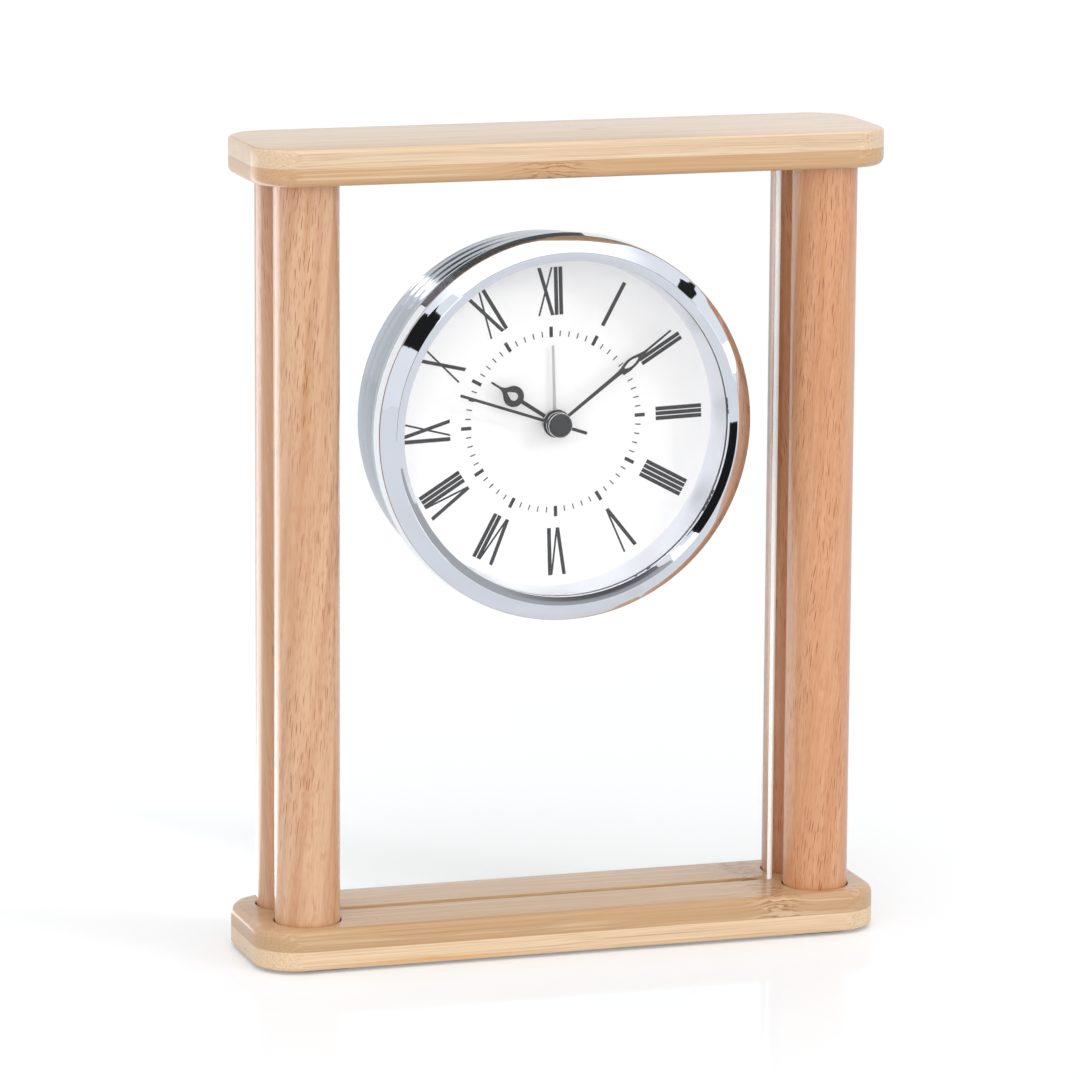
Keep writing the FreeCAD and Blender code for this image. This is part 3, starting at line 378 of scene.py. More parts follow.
class Finish:
    """A material, or the world, as nodes made one by one."""

    def __init__(self, name, owner=None):
        self.owner = owner or bpy.data.materials.new(name)
        self.owner.use_nodes = True
        self.tree = self.owner.node_tree
        self.tree.nodes.clear()

    def feed(self, socket, value):
        """Link a wire to a socket, or set the socket to a plain value."""
        if isinstance(value, Wire):
            self.tree.links.new(value.socket, socket)
        else:
            socket.default_value = value

    def node(self, kind, settings=None, sockets=None, output=0):
        """Any node: its settings, then the values or wires of its sockets; gives one of its outputs."""
        node = self.tree.nodes.new("ShaderNode" + kind)
        for key, value in (settings or {}).items():
            setattr(node, key, value)
        for key, value in (sockets or {}).items():
            self.feed(node.inputs[key], value)
        return Wire(self, node.outputs[output]) if node.outputs else None

    def math(self, operation, *values):
        """A Math node on values or wires."""
        return self.node("Math", {"operation": operation}, dict(enumerate(values)))

    def place(self, turn=(0.0, 0.0, 0.0)):
        """Object coordinates in millimetres, turned and split into x, y and z."""
        where = self.node("TexCoord", output="Object")
        scaled = self.node("Mapping", {}, {"Vector": where, "Scale": (1 / MM,) * 3, "Rotation": turn})
        return [self.node("SeparateXYZ", {}, {0: scaled}, output) for output in range(3)]

    def point(self, x, y, z):
        """A vector from its three parts."""
        return self.node("CombineXYZ", {}, {0: x, 1: y, 2: z})

    def noise(self, x, y, z, detail=2.0, roughness=0.5):
        """Soft noise about 0.5, one wave per unit of x, y and z."""
        return self.node("TexNoise", {}, {"Vector": self.point(x, y, z), "Scale": 1.0, "Detail": detail,
                                          "Roughness": roughness})

    def cells(self, x, y, z):
        """Distance to the nearest of scattered points, one per unit of x, y and z."""
        return self.node("TexVoronoi", {}, {"Vector": self.point(x, y, z), "Scale": 1.0})

    def flecks(self, x, y):
        """Distance to the nearest of points scattered over a plane, one per unit of x and y."""
        return self.node("TexVoronoi", {"voronoi_dimensions": "2D"},
                         {"Vector": self.point(x, y, 0.0), "Scale": 1.0})

    def rise(self, value, low, high):
        """0 below low, 1 above high, smooth between."""
        return self.node("MapRange", {"interpolation_type": "SMOOTHSTEP"},
                         {"Value": value, "From Min": low, "From Max": high})

    def hump(self, value, centre, width):
        """1 at the centre, falling to 0 at width on either side."""
        return 1.0 - self.rise(self.math("ABSOLUTE", value - centre), 0.0, width)

    def mix(self, first, second, share):
        """Two colours mixed by a share from 0 to 1."""
        return self.node("Mix", {"data_type": "RGBA"}, {0: share, 6: first, 7: second}, 2)

    def bump(self, height, depth):
        """A normal from a height that goes from 0 to 1 over depth millimetres."""
        return self.node("Bump", {}, {"Height": height, "Strength": 1.0, "Distance": depth * MM})

    def surface(self, **sockets):
        """Join a Principled shader with these sockets to the output, and give the material."""
        names = {key: key.replace("_", " ").title().replace("Ior", "IOR") for key in sockets}
        shader = self.node("BsdfPrincipled", {}, {names[key]: value for key, value in sockets.items()})
        self.node("OutputMaterial", {}, {"Surface": shader})
        return self.owner


def bamboo(name, seam, upper, lower, streak, figures, specks, orange=None):
    """Two plies of bamboo with their fibres along x.

    Bundles are stretched cells: fine streaks on the sides and dots on the ends. At a figure the fibres
    swell round an old joint of the cane, in wavy lines and short marks; figures give the joint's x, its
    half width, the swell's height, and 1 for the upper ply or -1 for the lower. Specks are small dark
    pits, as place, size and depth of colour. Orange is x, z and half length of one warm streak.
    """
    f = Finish(name)
    x, y, z = f.place()
    lengthwise = f.node("SeparateXYZ", {}, {0: f.node("TexCoord", output="Normal")})
    end = f.rise(f.math("ABSOLUTE", lengthwise), 0.2, 0.6)
    drift = f.noise(x * 0.012, y * 0.03, z * 0.08) - 0.5
    in_upper = f.rise(z, seam - 0.1, seam + 0.1)
    swell, broken = 0.0, 0.0
    for at, width, height, side in figures:
        ply = in_upper if side > 0 else 1.0 - in_upper
        swell = swell + f.hump(x, at, width) * ply * height
        broken = broken + f.hump(x, at, width * 0.8) * ply
    crumple = (f.noise(x * 0.17, y * 0.5, z * 0.6) - 0.5) * broken * 3.4
    across = z - drift * 2.4 - swell + crumple
    beside = y + drift * 3.0 + crumple
    bundle = f.cells(x * 0.013, beside * 2.5, across * 2.5 + in_upper * 40.0)
    thread = f.noise(x * 0.014, beside * 3.2, across * 3.4, 2.0, 0.6)
    strand = f.noise(x * 0.012, beside * 1.2, across * 1.5 + in_upper * 20.0, 2.0)
    broad = f.noise(x * 0.006, beside * 0.3, across * 0.6 + in_upper * 9.0, 1.0)
    dots = (1.0 - f.rise(bundle, 0.12, 0.4)) * (end * 0.5 + 0.3)
    tone = dots + f.rise(thread, 0.45, 0.64) * 0.42 + f.rise(strand, 0.5, 0.72) * (0.26 - end * 0.26)
    tone = tone + f.rise(broad, 0.5, 0.7) * 0.18
    ground = f.mix(lower, upper, in_upper)
    colour = f.mix(ground, streak, tone * 0.62)
    colour = f.mix(colour, shade(244, 224, 192), f.rise(strand, 0.48, 0.28) * (0.35 - end * 0.3))
    if orange:
        at, level, half_length = orange
        warm = f.hump(z + drift * 3.0, level, 0.75) * f.hump(x, at, half_length)
        colour = f.mix(colour, shade(230, 168, 98), warm * f.rise(thread, 0.3, 0.5))
    seam_line = f.hump(z, seam, 0.14) * f.rise(f.noise(x * 0.05, y * 0.05, 3.0), 0.3, 0.6)
    colour = f.mix(colour, shade(160, 112, 66), seam_line * 0.45)
    ripple = f.math("SINE", (across + drift * 5.0) * 6.0)
    waves = f.rise(ripple, 0.1, 0.95) * broken * f.rise(thread, 0.3, 0.5)
    colour = f.mix(colour, shade(158, 102, 54), waves * 0.8)
    for at, size, depth in specks:
        spot = f.node("VectorMath", {"operation": "DISTANCE"}, {0: f.point(x, y, z), 1: at}, "Value")
        ragged = spot + (thread - 0.5) * size
        colour = f.mix(colour, shade(128, 84, 54), (1.0 - f.rise(ragged, size * 0.3, size)) * depth)
    grain = dots * 0.6 + thread * 0.6
    return f.surface(base_color=colour, roughness=0.42 + thread * 0.12, normal=f.bump(grain, -0.02),
                     **SATIN_OIL)


def beech(name, column, radius):
    """A beech dowel with its grain upright: soft stripes, fine threads and short dark flecks.

    Flecks lie on the unrolled surface, s = radius * angle round the dowel, so that every side shows
    them at full length. The signs of x and y tell the four dowels apart; the rear ones get painted shade.
    """
    f = Finish(name)
    x, y, z = f.place()
    dowel = f.rise(x, -1.0, 1.0) * 37.0 + f.rise(y, -1.0, 1.0) * 91.0
    side = f.math("ABSOLUTE", x) - float(column[0])
    deep = f.math("ABSOLUTE", y) - float(column[1])
    s = f.math("ARCTAN2", side, deep) * radius
    sway = f.noise(s * 0.09, z * 0.014, dowel) - 0.5
    t = s + sway * 5.0 - z * (f.rise(x, -1.0, 1.0) * 0.16 - 0.08)
    thread = f.noise(t * 2.4, z * 0.09, dowel, 3.0, 0.65)
    stripe = f.noise(t * 0.26, z * 0.008, dowel, 2.0)
    crowd = f.rise(f.noise(t * 0.12, z * 0.015, dowel + 5.0, 1.0), 0.36, 0.56)
    long = f.flecks(t / 0.8 + dowel, z / 13.0)
    short = f.flecks(t / 0.52 + dowel, z / 5.2 + 0.3)
    rag = (thread - 0.5) * 0.12
    lines = (1.0 - f.rise(long + rag, 0.09, 0.17)) * (crowd * 0.9 + 0.1)
    dashes = (1.0 - f.rise(short + rag, 0.1, 0.22)) * (crowd * 0.75 + 0.25)
    flakes = f.rise(f.noise(t * 0.42, z * 0.2, dowel + 9.0, 2.0), 0.55, 0.7) * (1.0 - crowd)
    right, rear = f.rise(x, -1.0, 1.0), f.rise(y, -1.0, 1.0)
    colour = f.mix(shade(226, 180, 140), shade(209, 157, 116), f.rise(stripe, 0.36, 0.64))
    colour = f.mix(colour, shade(216, 138, 80), right * 0.5)
    # painted shade: the two rear dowels are mixed towards a darker brown, the right one a little more
    colour = f.mix(colour, shade(140, 92, 54), rear * (right * 0.08 + 0.26))
    colour = f.mix(colour, shade(238, 200, 168), f.rise(thread, 0.46, 0.22) * 0.5)
    colour = f.mix(colour, shade(186, 126, 86), f.rise(thread, 0.5, 0.74) * 0.55)
    colour = f.mix(colour, shade(206, 146, 106), flakes * 0.55)
    colour = f.mix(colour, shade(184, 106, 62), dashes * 0.55)
    colour = f.mix(colour, shade(160, 78, 36), lines * 0.75)
    depth = dashes * 0.5 + lines + thread * 0.3
    return f.surface(base_color=colour, roughness=0.4 + thread * 0.1, normal=f.bump(depth, -0.012),
                     **LACQUER)


def ground_edge(name):
    """The pane's ground edge: pale, a little green, fine grinding lines along it, and a painted glow."""
    f = Finish(name)
    x, y, z = f.place()
    lines = f.noise(x * 0.02, y * 5.0, z * 0.02, 3.0, 0.7)
    colour = f.mix(shade(253, 254, 253), shade(236, 239, 238), f.rise(lines, 0.45, 0.7))
    # painted light: the edge glows a little so that it reads near white
    return f.surface(base_color=colour, roughness=0.5 + lines * 0.2, emission_color=colour,
                     emission_strength=0.22)


def metal(name, colour, roughness, wear=0.04, turned_lines=0.0, axis_lines=14.0):
    """Bare or plated metal: slightly uneven gloss, and fine rings where it was turned on a lathe."""
    f = Finish(name)
    x, y, z = f.place()
    smear = f.noise(x * 0.12, y * 0.12, z * 0.12, 3.0)
    sockets = {"roughness": roughness + (smear - 0.5) * wear, "metallic": 1.0,
               "base_color": f.mix(colour, dimmed(colour, 0.93), smear)}
    if turned_lines:
        rings = f.math("SINE", y * axis_lines) * 0.5 + f.noise(0.0, y * 9.0, 0.0, 2.0) * 0.1
        sockets["normal"] = f.bump(rings, turned_lines)
    return f.surface(**sockets)


def plastic(name, colour, roughness, grain=0.0, pitch=4.0):
    """Moulded plastic: a faint cloud in its colour, and a fine spark-eroded grain if it has one."""
    f = Finish(name)
    x, y, z = f.place()
    cloud = f.noise(x * 0.2, y * 0.2, z * 0.2, 3.0)
    sockets = {"base_color": f.mix(colour, dimmed(colour, 0.82), cloud),
               "roughness": roughness + (cloud - 0.5) * 0.12}
    if grain:
        pits = f.noise(x * pitch, y * pitch, z * pitch, 3.0, 0.6)
        sockets["normal"] = f.bump(pits, grain)
    return f.surface(**sockets)


def clear(name, colour, index):
    """Clear glass of a refractive index, which lets the lamps through."""
    f = Finish(name)
    glass = f.node("BsdfPrincipled", {}, {"Base Color": colour, "Roughness": 0.0, "IOR": index,
                                          "Transmission Weight": 1.0})
    passing = f.node("BsdfTransparent", {}, {"Color": colour})
    shadow = f.node("LightPath", output="Is Shadow Ray")
    both = f.node("MixShader", {}, {0: shadow, 1: glass, 2: passing})
    f.node("OutputMaterial", {}, {"Surface": both})
    return f.owner


def felt(name):
    """Dark grey felt: a mottled colour and a soft uneven surface."""
    f = Finish(name)
    x, y, z = f.place()
    fluff = f.noise(x * 1.6, y * 1.6, z * 1.6, 4.0, 0.7)
    colour = f.mix(shade(92, 90, 88), shade(128, 125, 121), f.rise(fluff, 0.4, 0.7))
    return f.surface(base_color=colour, roughness=0.95, normal=f.bump(fluff, 0.25))


def cell_wrap(name, positive_end, copper=13.0, cap=1.5):
    """A plain battery sleeve: dark, then copper-coloured and a bright cap towards the positive end."""
    f = Finish(name)
    x, y, z = f.place()
    shoulder = f.rise(x, positive_end - copper - 0.2, positive_end - copper)
    colour = f.mix(shade(34, 38, 44), shade(186, 116, 62), shoulder)
    colour = f.mix(colour, shade(190, 190, 188), f.rise(x, positive_end - cap - 0.1, positive_end - cap))
    scuff = f.noise(x * 0.5, y * 0.5, z * 0.5, 3.0)
    return f.surface(base_color=colour, metallic=0.5 * shoulder + 0.2, roughness=0.26 + scuff * 0.12)


def windings(name):
    """Enamelled copper wire wound about x: fine ridges, each turn next to the last; painted shade in the
    grooves.
    """
    f = Finish(name)
    x, _, _ = f.place(turn=(0.0, HEAD_LEAN, 0.0))
    turn = f.math("SINE", x * 40.0) * 0.5 + 0.5
    # painted shade: the colour is darker in the grooves between turns, where the bump is low
    colour = f.mix(shade(150, 78, 40), shade(196, 112, 62), turn)
    return f.surface(base_color=colour, metallic=0.6, roughness=0.3 + turn * 0.1,
                     normal=f.bump(turn, 0.06))


def dial_print(name):
    """White printed metal: even, with the finest mottle of the ink, and a faint painted glow that lifts
    its shade.
    """
    f = Finish(name)
    x, y, z = f.place()
    mottle = f.noise(x * 1.5, y * 1.5, z * 1.5, 2.0)
    colour = f.mix(shade(241, 240, 239), shade(237, 236, 235), mottle)
    # painted light: a faint white glow lifts the shade that the bezel and ring cast on the dial
    return f.surface(base_color=colour, roughness=0.5 + mottle * 0.1,
                     emission_color=(1.0, 0.99, 0.98, 1.0), emission_strength=0.09)


SPACER_METAL = metal("spacer_metal", (0.92, 0.94, 0.99, 1.0), 0.6, 0.05)
BRIGHT_RIM = metal("bright_rim", (0.9, 0.9, 0.91, 1.0), 0.2)
SEAM_BASE = (BASE_LOW[2] + BASE_HIGH[2]) / 2 - 0.1
SEAM_TOP = (TOP_LOW[2] + TOP_HIGH[2]) / 2 - 0.1
BASE_BAMBOO = bamboo(
    "bamboo_base", SEAM_BASE, shade(204, 165, 121), shade(240, 209, 171), shade(176, 126, 80),
    figures=[(52.0, 11.0, 1.2, 1)],
    specks=[((-67.6, -16.5, 10.3), 0.9, 0.75), ((-66.0, -19.0, 9.4), 0.9, 0.75),
            ((-49.0, -13.0, 10.8), 0.5, 0.75), ((73.4, -15.4, 10.5), 0.7, 0.75)],
    orange=(-36.0, 1.9, 34.0))
TOP_BAMBOO = bamboo(
    "bamboo_top", SEAM_TOP, shade(232, 204, 170), shade(212, 169, 124), shade(186, 137, 92),
    figures=[(-8.0, 17.0, 1.5, -1)],
    specks=[((8.0, 1.0, 200.0), 3.2, 0.2), ((12.0, 3.0, 200.0), 2.4, 0.16)])
FINISHES = {
    "bamboo": BASE_BAMBOO,
    "beech": beech("beech", (COLUMN_LOW + COLUMN_HIGH)[:2] / 2, (COLUMN_HIGH - COLUMN_LOW)[0] / 2),
    "pane_glass": clear("pane_glass", (0.985, 0.996, 0.99, 1.0), 1.5),
    "crystal_glass": clear("crystal_glass", (0.995, 0.995, 0.995, 1.0), 1.4),
    "chrome": metal("chrome", (0.8, 0.82, 0.86, 1.0), 0.03, 0.01),
    "satin_metal": metal("satin_metal", (0.44, 0.46, 0.49, 1.0), 0.09, 0.04, 0.026, 1.6),
    "dial_white": dial_print("dial_white"),
    "hand_black": plastic("hand_black", shade(12, 12, 13), 0.45),
    "hand_silver": metal("hand_silver", (0.5, 0.51, 0.52, 1.0), 0.3),
    "felt": felt("felt"),
    "sleeve_rubber": plastic("sleeve_rubber", shade(196, 198, 198), 0.5),
    "zinc": metal("zinc", (0.62, 0.62, 0.6, 1.0), 0.3, 0.2),
    "case_plastic": plastic("case_plastic", shade(38, 38, 39), 0.5, 0.05, 3.5),
    "switch_plastic": plastic("switch_plastic", shade(214, 214, 210), 0.4, 0.02, 5.0),
    "plate_plastic": plastic("plate_plastic", shade(206, 206, 196), 0.4, 0.02, 5.0),
    "gear_plastic": plastic("gear_plastic", shade(234, 230, 212), 0.3),
    "gear_brass": metal("gear_brass", (0.8, 0.62, 0.3, 1.0), 0.25),
    "core_iron": metal("core_iron", (0.5, 0.5, 0.5, 1.0), 0.35, 0.1),
    "coil_copper": windings("coil_copper"),
    "board_green": plastic("board_green", shade(34, 92, 58), 0.3, 0.02, 2.0),
    "chip_black": plastic("chip_black", shade(26, 26, 27), 0.25),
    "can_metal": metal("can_metal", (0.72, 0.72, 0.72, 1.0), 0.28),
    "buzzer_black": plastic("buzzer_black", shade(30, 30, 31), 0.35),
    "battery_wrap": cell_wrap("battery_wrap", corners("battery")[1][0]),
    "contact_metal": metal("contact_metal", (0.76, 0.75, 0.71, 1.0), 0.25, 0.1),
}


# ---- boards, columns and pane -------------------------------------------------------------------
def socket_tool(centre, radius, floor, mouth, flare):
    """What a column's socket takes out of a board; flare is the eased edge at its mouth."""
    way = 1 if mouth > floor else -1
    section = np.array([(0, floor), (radius, floor), (radius, mouth - way * flare),
                        (radius + 2 * flare, mouth + way * flare), (0, mouth + way * flare)])
    return upright("tool", section, centre, 96)


def slot_tool(half, floor, mouth, flare):
    """What the pane's slot takes out of a board."""
    way = 1 if mouth > floor else -1
    heights = [floor, mouth - way * flare, mouth + way * flare]
    return round_box("tool", half, 0.3, heights, [0.0, 0.0, -2 * flare], pitch=200.0, arc_steps=3)


def make_boards():
    """Both boards: a round box with eased edges, less four sockets and the pane's slot."""
    slot_half = (PANE_HIGH[0] + SLOT_PLAY, PANE_HIGH[1] + SLOT_PLAY)
    columns = [corners(name) for name in COLUMN_NAMES]
    radius = (columns[0][1][0] - columns[0][0][0]) / 2 + SOCKET_PLAY
    for name, low, high, rounds, floor, mouth, finish in (
            ("bamboo_base_board", BASE_LOW, BASE_HIGH, BASE_ROUNDS, BASE_HIGH[2] - SOCKET_DEPTH,
             BASE_HIGH[2], BASE_BAMBOO),
            ("bamboo_top_board", TOP_LOW, TOP_HIGH, TOP_ROUNDS, TOP_LOW[2] + SOCKET_DEPTH, TOP_LOW[2],
             TOP_BAMBOO)):
        half = (high - low)[:2] / 2
        heights, insets = eased(low[2], high[2], *rounds)
        board = round_box(name, half, CORNER_R, heights, insets)
        tools = [socket_tool((a + b)[:2] / 2, radius, floor, mouth, MOUTH_FLARE) for a, b in columns]
        tools.append(slot_tool(slot_half, floor, mouth, MOUTH_FLARE))
        node = name.removeprefix("bamboo_")
        piece(cut(board, tools), "clock", finish, [node])


def make_columns():
    """Each dowel: a radius turned about its axis, with the edges of both ends eased."""
    ease = COLUMN_EASE
    for name in COLUMN_NAMES:
        low, high = corners(name)
        radius = (high[0] - low[0]) / 2
        levels = np.linspace(low[2] + ease, high[2] - ease, 40)
        section = np.concatenate([[(0, low[2]), (radius - ease, low[2])],
                                  np.stack([levels * 0 + radius, levels], axis=-1),
                                  [(radius - ease, high[2]), (0, high[2])]])
        mesh = upright("beech_" + name, section, (low + high)[:2] / 2)
        piece(mesh, "clock", FINISHES["beech"], [name])


def make_felt():
    """Each pad: a thin round box with eased edges."""
    for side in ("left", "right"):
        low, high = corners("foot_pad_" + side)
        heights, insets = eased(low[2], high[2], FELT_EDGE, FELT_EDGE, 2)
        mesh = round_box("felt_pad_" + side, (high - low)[:2] / 2, FELT_CORNER_R, heights, insets,
                         (low + high)[:2] / 2)
        piece(mesh, "clock", FINISHES["felt"], ["foot_pad_" + side])


def make_pane():
    """Each ray from the hole's axis meets the hole's rim and the pane's outline; rows join the two."""
    bevel = PANE_BEVEL
    hole = DRUM_R + SLEEVE
    low, high = PANE_LOW[[0, 2]], PANE_HIGH[[0, 2]]
    share = np.arange(PANE_RAYS) / PANE_RAYS
    sides = [(low, (high[0], low[1])), ((high[0], low[1]), high), (high, (low[0], high[1])),
             ((low[0], high[1]), low)]
    outer = np.concatenate([np.array(a) + (np.array(b) - np.array(a)) * share[:, None] for a, b in sides])
    centre = np.array([0.0, HEAD_Z])
    ray = outer - centre
    rim = centre + ray / np.linalg.norm(ray, axis=1)[:, None] * hole
    inset = np.clip(outer, low + bevel, high - bevel)
    front, back = PANE_LOW[1], PANE_HIGH[1]
    rows = [(rim, front), (inset, front), (outer, front + bevel), (outer, back - bevel), (inset, back),
            (rim, back)]
    grid = np.stack([np.stack([p[:, 0], 0 * p[:, 0] + y, p[:, 1]], axis=-1) for p, y in rows])
    mesh = skin("clear_pane", grid)
    band = np.repeat([0, 1, 1, 1, 0, 0], len(outer))     # 1 on the bevels and the edge, row by row
    pane = piece(mesh, "clock", FINISHES["pane_glass"], ["glass_pane"], crease=20.0)
    pane.data.materials.append(ground_edge("ground_edge"))
    pane.data.polygons.foreach_set("material_index", band)


make_boards()
make_columns()
make_felt()
make_pane()


# ---- clock head ---------------------------------------------------------------------------------
SKIRT_OUT = 1.25             # the bezel's skirt, outside and inside, past the crystal's edge
SKIRT_IN = 0.05
LIP_DEPTH = 0.95             # depths here are behind the bezel's foremost ridge
CONE_OUT, CONE_DEPTH = 1.1, 0.42
RIDGE_IN = 4.3               # how far inside the bezel's outline its ridge lies
SLOPE_IN, SLOPE_DEPTH = 1.9, 1.24
RIM_IN, RIM_DEPTH = 0.4, 2.2
HOLLOW_R = 10.0              # the gentle hollows of cone and slope
ROLLED_IN, ROLLED_THICK = 2.5, 0.4           # the drum's rolled rear edge
RING_FLARE = 0.6             # how much narrower the spacer ring is at the dial
DIAL_HOLE_R = 2.55


def make_case():
    """The fixed parts of the head, each a section turned about the head's axis."""
    front = BEZEL_LOW[1]
    flange = DRUM_LOW[1]
    shoulder = CRYSTAL_LOW[1]
    skirt_r, bore_r = CRYSTAL_R + SKIRT_OUT, CRYSTAL_R + SKIRT_IN
    bezel = rounded([
        (BORE_R, shoulder, 0), (BORE_R, front + LIP_DEPTH, 0.12),
        (BORE_R + CONE_OUT, front + CONE_DEPTH, HOLLOW_R), (BEZEL_R - RIDGE_IN, front, 0.45),
        (BEZEL_R - SLOPE_IN, front + SLOPE_DEPTH, HOLLOW_R), (BEZEL_R - RIM_IN, front + RIM_DEPTH, 0.5),
        (BEZEL_R, flange, 0.3), (skirt_r, flange, 0), (skirt_r, BEZEL_HIGH[1], 0),
        (bore_r, BEZEL_HIGH[1], 0), (bore_r, shoulder, 0)], pitch=0.25, arc_steps=12)
    piece(turned("chrome_bezel", bezel, 320), "clock", FINISHES["chrome"], ["bezel"])

    inner, rolled = DRUM_R - DRUM_WALL, DRUM_R - ROLLED_IN
    back = DRUM_HIGH[1]
    pane_front = PANE_LOW[1]
    drum = rounded([
        (inner, flange, 0), (FLANGE_R, flange, 0.3), (FLANGE_R, pane_front, 0.2), (DRUM_R, pane_front, 0),
        (DRUM_R, back, 0.38), (rolled, back, 0), (rolled, back - ROLLED_THICK, 0),
        (inner, back - ROLLED_THICK, 0)], pitch=1.0)
    piece(turned("satin_drum", drum, 288), "clock", FINISHES["satin_metal"], ["case_drum"])

    ring = rounded([(BORE_R, RING_LOW[1], 0), (BORE_R - RING_FLARE, RING_HIGH[1], 0),
                    (CRYSTAL_R, RING_HIGH[1], 0), (CRYSTAL_R, RING_LOW[1], 0)], pitch=1.0)
    piece(turned("satin_spacer", ring), "clock", SPACER_METAL, ["spacer_ring"])

    glass = np.array([(0, shoulder), (CRYSTAL_R, shoulder), (CRYSTAL_R, CRYSTAL_HIGH[1]),
                      (0, CRYSTAL_HIGH[1])])
    piece(turned("dial_glass", glass, closed=False), "clock", FINISHES["crystal_glass"], ["crystal"])

    radii = np.linspace(DIAL_HOLE_R, DIAL_R, 12)
    plate = np.concatenate([np.stack([radii, 0 * radii + DIAL_LOW[1]], axis=-1),
                            np.stack([radii[::-1], 0 * radii + DIAL_HIGH[1]], axis=-1)])
    piece(turned("dial_plate", plate), "clock", FINISHES["dial_white"], ["dial"])


BEAD_R = 0.085
HOUR_HUB_R = 3.48
UPPER_HUB_R = 2.98           # of the minute hand's disc and of the cap
CAP_RIM_FORWARD = 0.62       # how far before the cap's rear face its bright rim lies


def make_hub_rims():
    """Bright turned edges on the three discs of the hands' hub.

    Each is a round bead, (radius + bead cos a, edge + bead sin a), turned about the head's axis.
    """
    around = np.linspace(0, 2 * math.pi, 12, endpoint=False)
    for node, body, radius, edge in (
            ("hour_hand", "hour_hand", HOUR_HUB_R, corners("hour_hand")[0][1]),
            ("minute_hand", "minute_hand", UPPER_HUB_R, corners("minute_hand")[0][1]),
            ("hub_cap", "second_hand", UPPER_HUB_R, corners("hub_cap")[1][1] - CAP_RIM_FORWARD)):
        section = np.stack([radius + BEAD_R * np.cos(around), edge + BEAD_R * np.sin(around)], axis=-1)
        piece(turned("bright_rim_" + node, section, 96), body, BRIGHT_RIM)


PRINT = 0.02                 # thickness of the printed marks
NUMERAL_FOOT = 26.3
NUMERAL_HEAD = 38.1
THICK = 0.98
THIN = 0.48
STROKE_PITCH = 1.19
V_WIDTH = 3.25
V_FOOT_THICK, V_FOOT_THIN = 1.45, 1.6        # where the two strokes of a V end, past its left
X_WIDTH = 3.7
SLANTED = THICK * 0.94       # a thick stroke that leans is a little thinner
LETTER_GAP = {"V": -0.1, "X": 0.02}
HOUR_TICK = (0.87, 23.5, 20.9)               # width, head and foot
MINUTE_TICK = (0.3, 22.5, 21.1)
NUMERALS = ["XII", "I", "II", "III", "IIII", "V", "VI", "VII", "VIII", "IX", "X", "XI"]


def strokes_of(numeral):
    """(place of the top, place of the foot, width) of each stroke, centred, left to right."""
    strokes, left = [], 0.0
    for letter in numeral:
        if letter == "I":
            strokes.append((left + THICK / 2, left + THICK / 2, THICK))
            left += STROKE_PITCH
        elif letter == "V":
            strokes.append((left + THICK / 2, left + THICK / 2 + V_FOOT_THICK, SLANTED))
            strokes.append((left + THICK / 2 + V_WIDTH, left + THICK / 2 + V_FOOT_THIN, THIN))
            left += THICK / 2 + V_WIDTH + LETTER_GAP[letter]
        else:
            strokes.append((left + THICK / 2, left + X_WIDTH, SLANTED))
            strokes.append((left + X_WIDTH, left + THIN / 2, THIN))
            left += X_WIDTH + THICK / 2 + LETTER_GAP[letter]
    low = min(min(top, foot) - width / 2 for top, foot, width in strokes)
    high = max(max(top, foot) + width / 2 for top, foot, width in strokes)
    middle = (low + high) / 2
    return [(top - middle, foot - middle, width) for top, foot, width in strokes]


def bars(name, marks, thickness):
    """Flat bars on the dial: (clock angle, place of head, place of foot, width, head, foot) of each.

    A bar's corners lie at foot and head along the radius and half a width either side of its line.
    """
    made = []
    front = DIAL_LOW[1]
    for angle, top, low, width, head, foot in marks:
        a = math.radians(angle)
        u = np.array([low - width / 2, low + width / 2, top + width / 2, top - width / 2])
        v = np.array([foot, foot, head, head])
        lift = thickness * (1.0 if width > THIN else 0.7)    # so that crossing strokes don't share a face
        x, z = u * math.cos(a) + v * math.sin(a), v * math.cos(a) - u * math.sin(a)
        rows = [np.stack([x, 0 * x + y, z], axis=-1) for y in (front, front - lift)]
        made.append(skin(name, in_head(np.stack(rows)), closed_rows=False, caps=True))
    return merged(name, made)


def make_prints():
    """Numerals and minute marks, as flat bars on the dial."""
    numerals = [(30 * hour, top, foot, width, NUMERAL_HEAD, NUMERAL_FOOT)
                for hour, numeral in enumerate(NUMERALS) for top, foot, width in strokes_of(numeral)]
    black = FINISHES["hand_black"]
    piece(bars("printed_numerals", numerals, PRINT), "clock", black)
    hours = [(30 * i, 0, 0, *HOUR_TICK) for i in range(12)]
    minutes = [(6 * i, 0, 0, *MINUTE_TICK) for i in range(60) if i % 5]
    piece(bars("printed_ticks", hours + minutes, PRINT), "clock", black)


make_case()
make_hub_rims()
make_prints()


# ---- CAD nodes that stay ------------------------------------------------------------------------
for part in frame["record"]["subparts"]:
    node = frame["nodes"][part["node"]]
    if not node.hide_render:
        for holder in node.material_slots:
            holder.material = FINISHES[part["material_slot"]]


# ---- floor, lamps and world ---------------------------------------------------------------------
AMBIENT = 0.75               # share of a white surface's brightness that the surroundings give
FLOOR_REACH = 9000.0
LAMP_DISTANCE = 2000.0
CARD_CENTRE = np.array([0.0, 0.0, 128.0])    # what the cards face
GLOW_DIM, GLOW_BRIGHT = 0.85, 3.45
GLOW_HEIGHT = 0.5            # over the floor


def ways_seen(f):
    """1 where a thing is seen straight or through glass, and 1 where it is seen in a mirror."""
    seen, through, gloss = [f.node("LightPath", output=kind) for kind in
                            ("Is Camera Ray", "Is Transmission Ray", "Is Glossy Ray")]
    return f.math("MAXIMUM", seen, through), gloss * (1.0 - through)


def panel(width, height):
    """The corners of an upright rectangle about its centre."""
    return [(-width / 2, -height / 2), (width / 2, -height / 2), (width / 2, height / 2),
            (-width / 2, height / 2)]


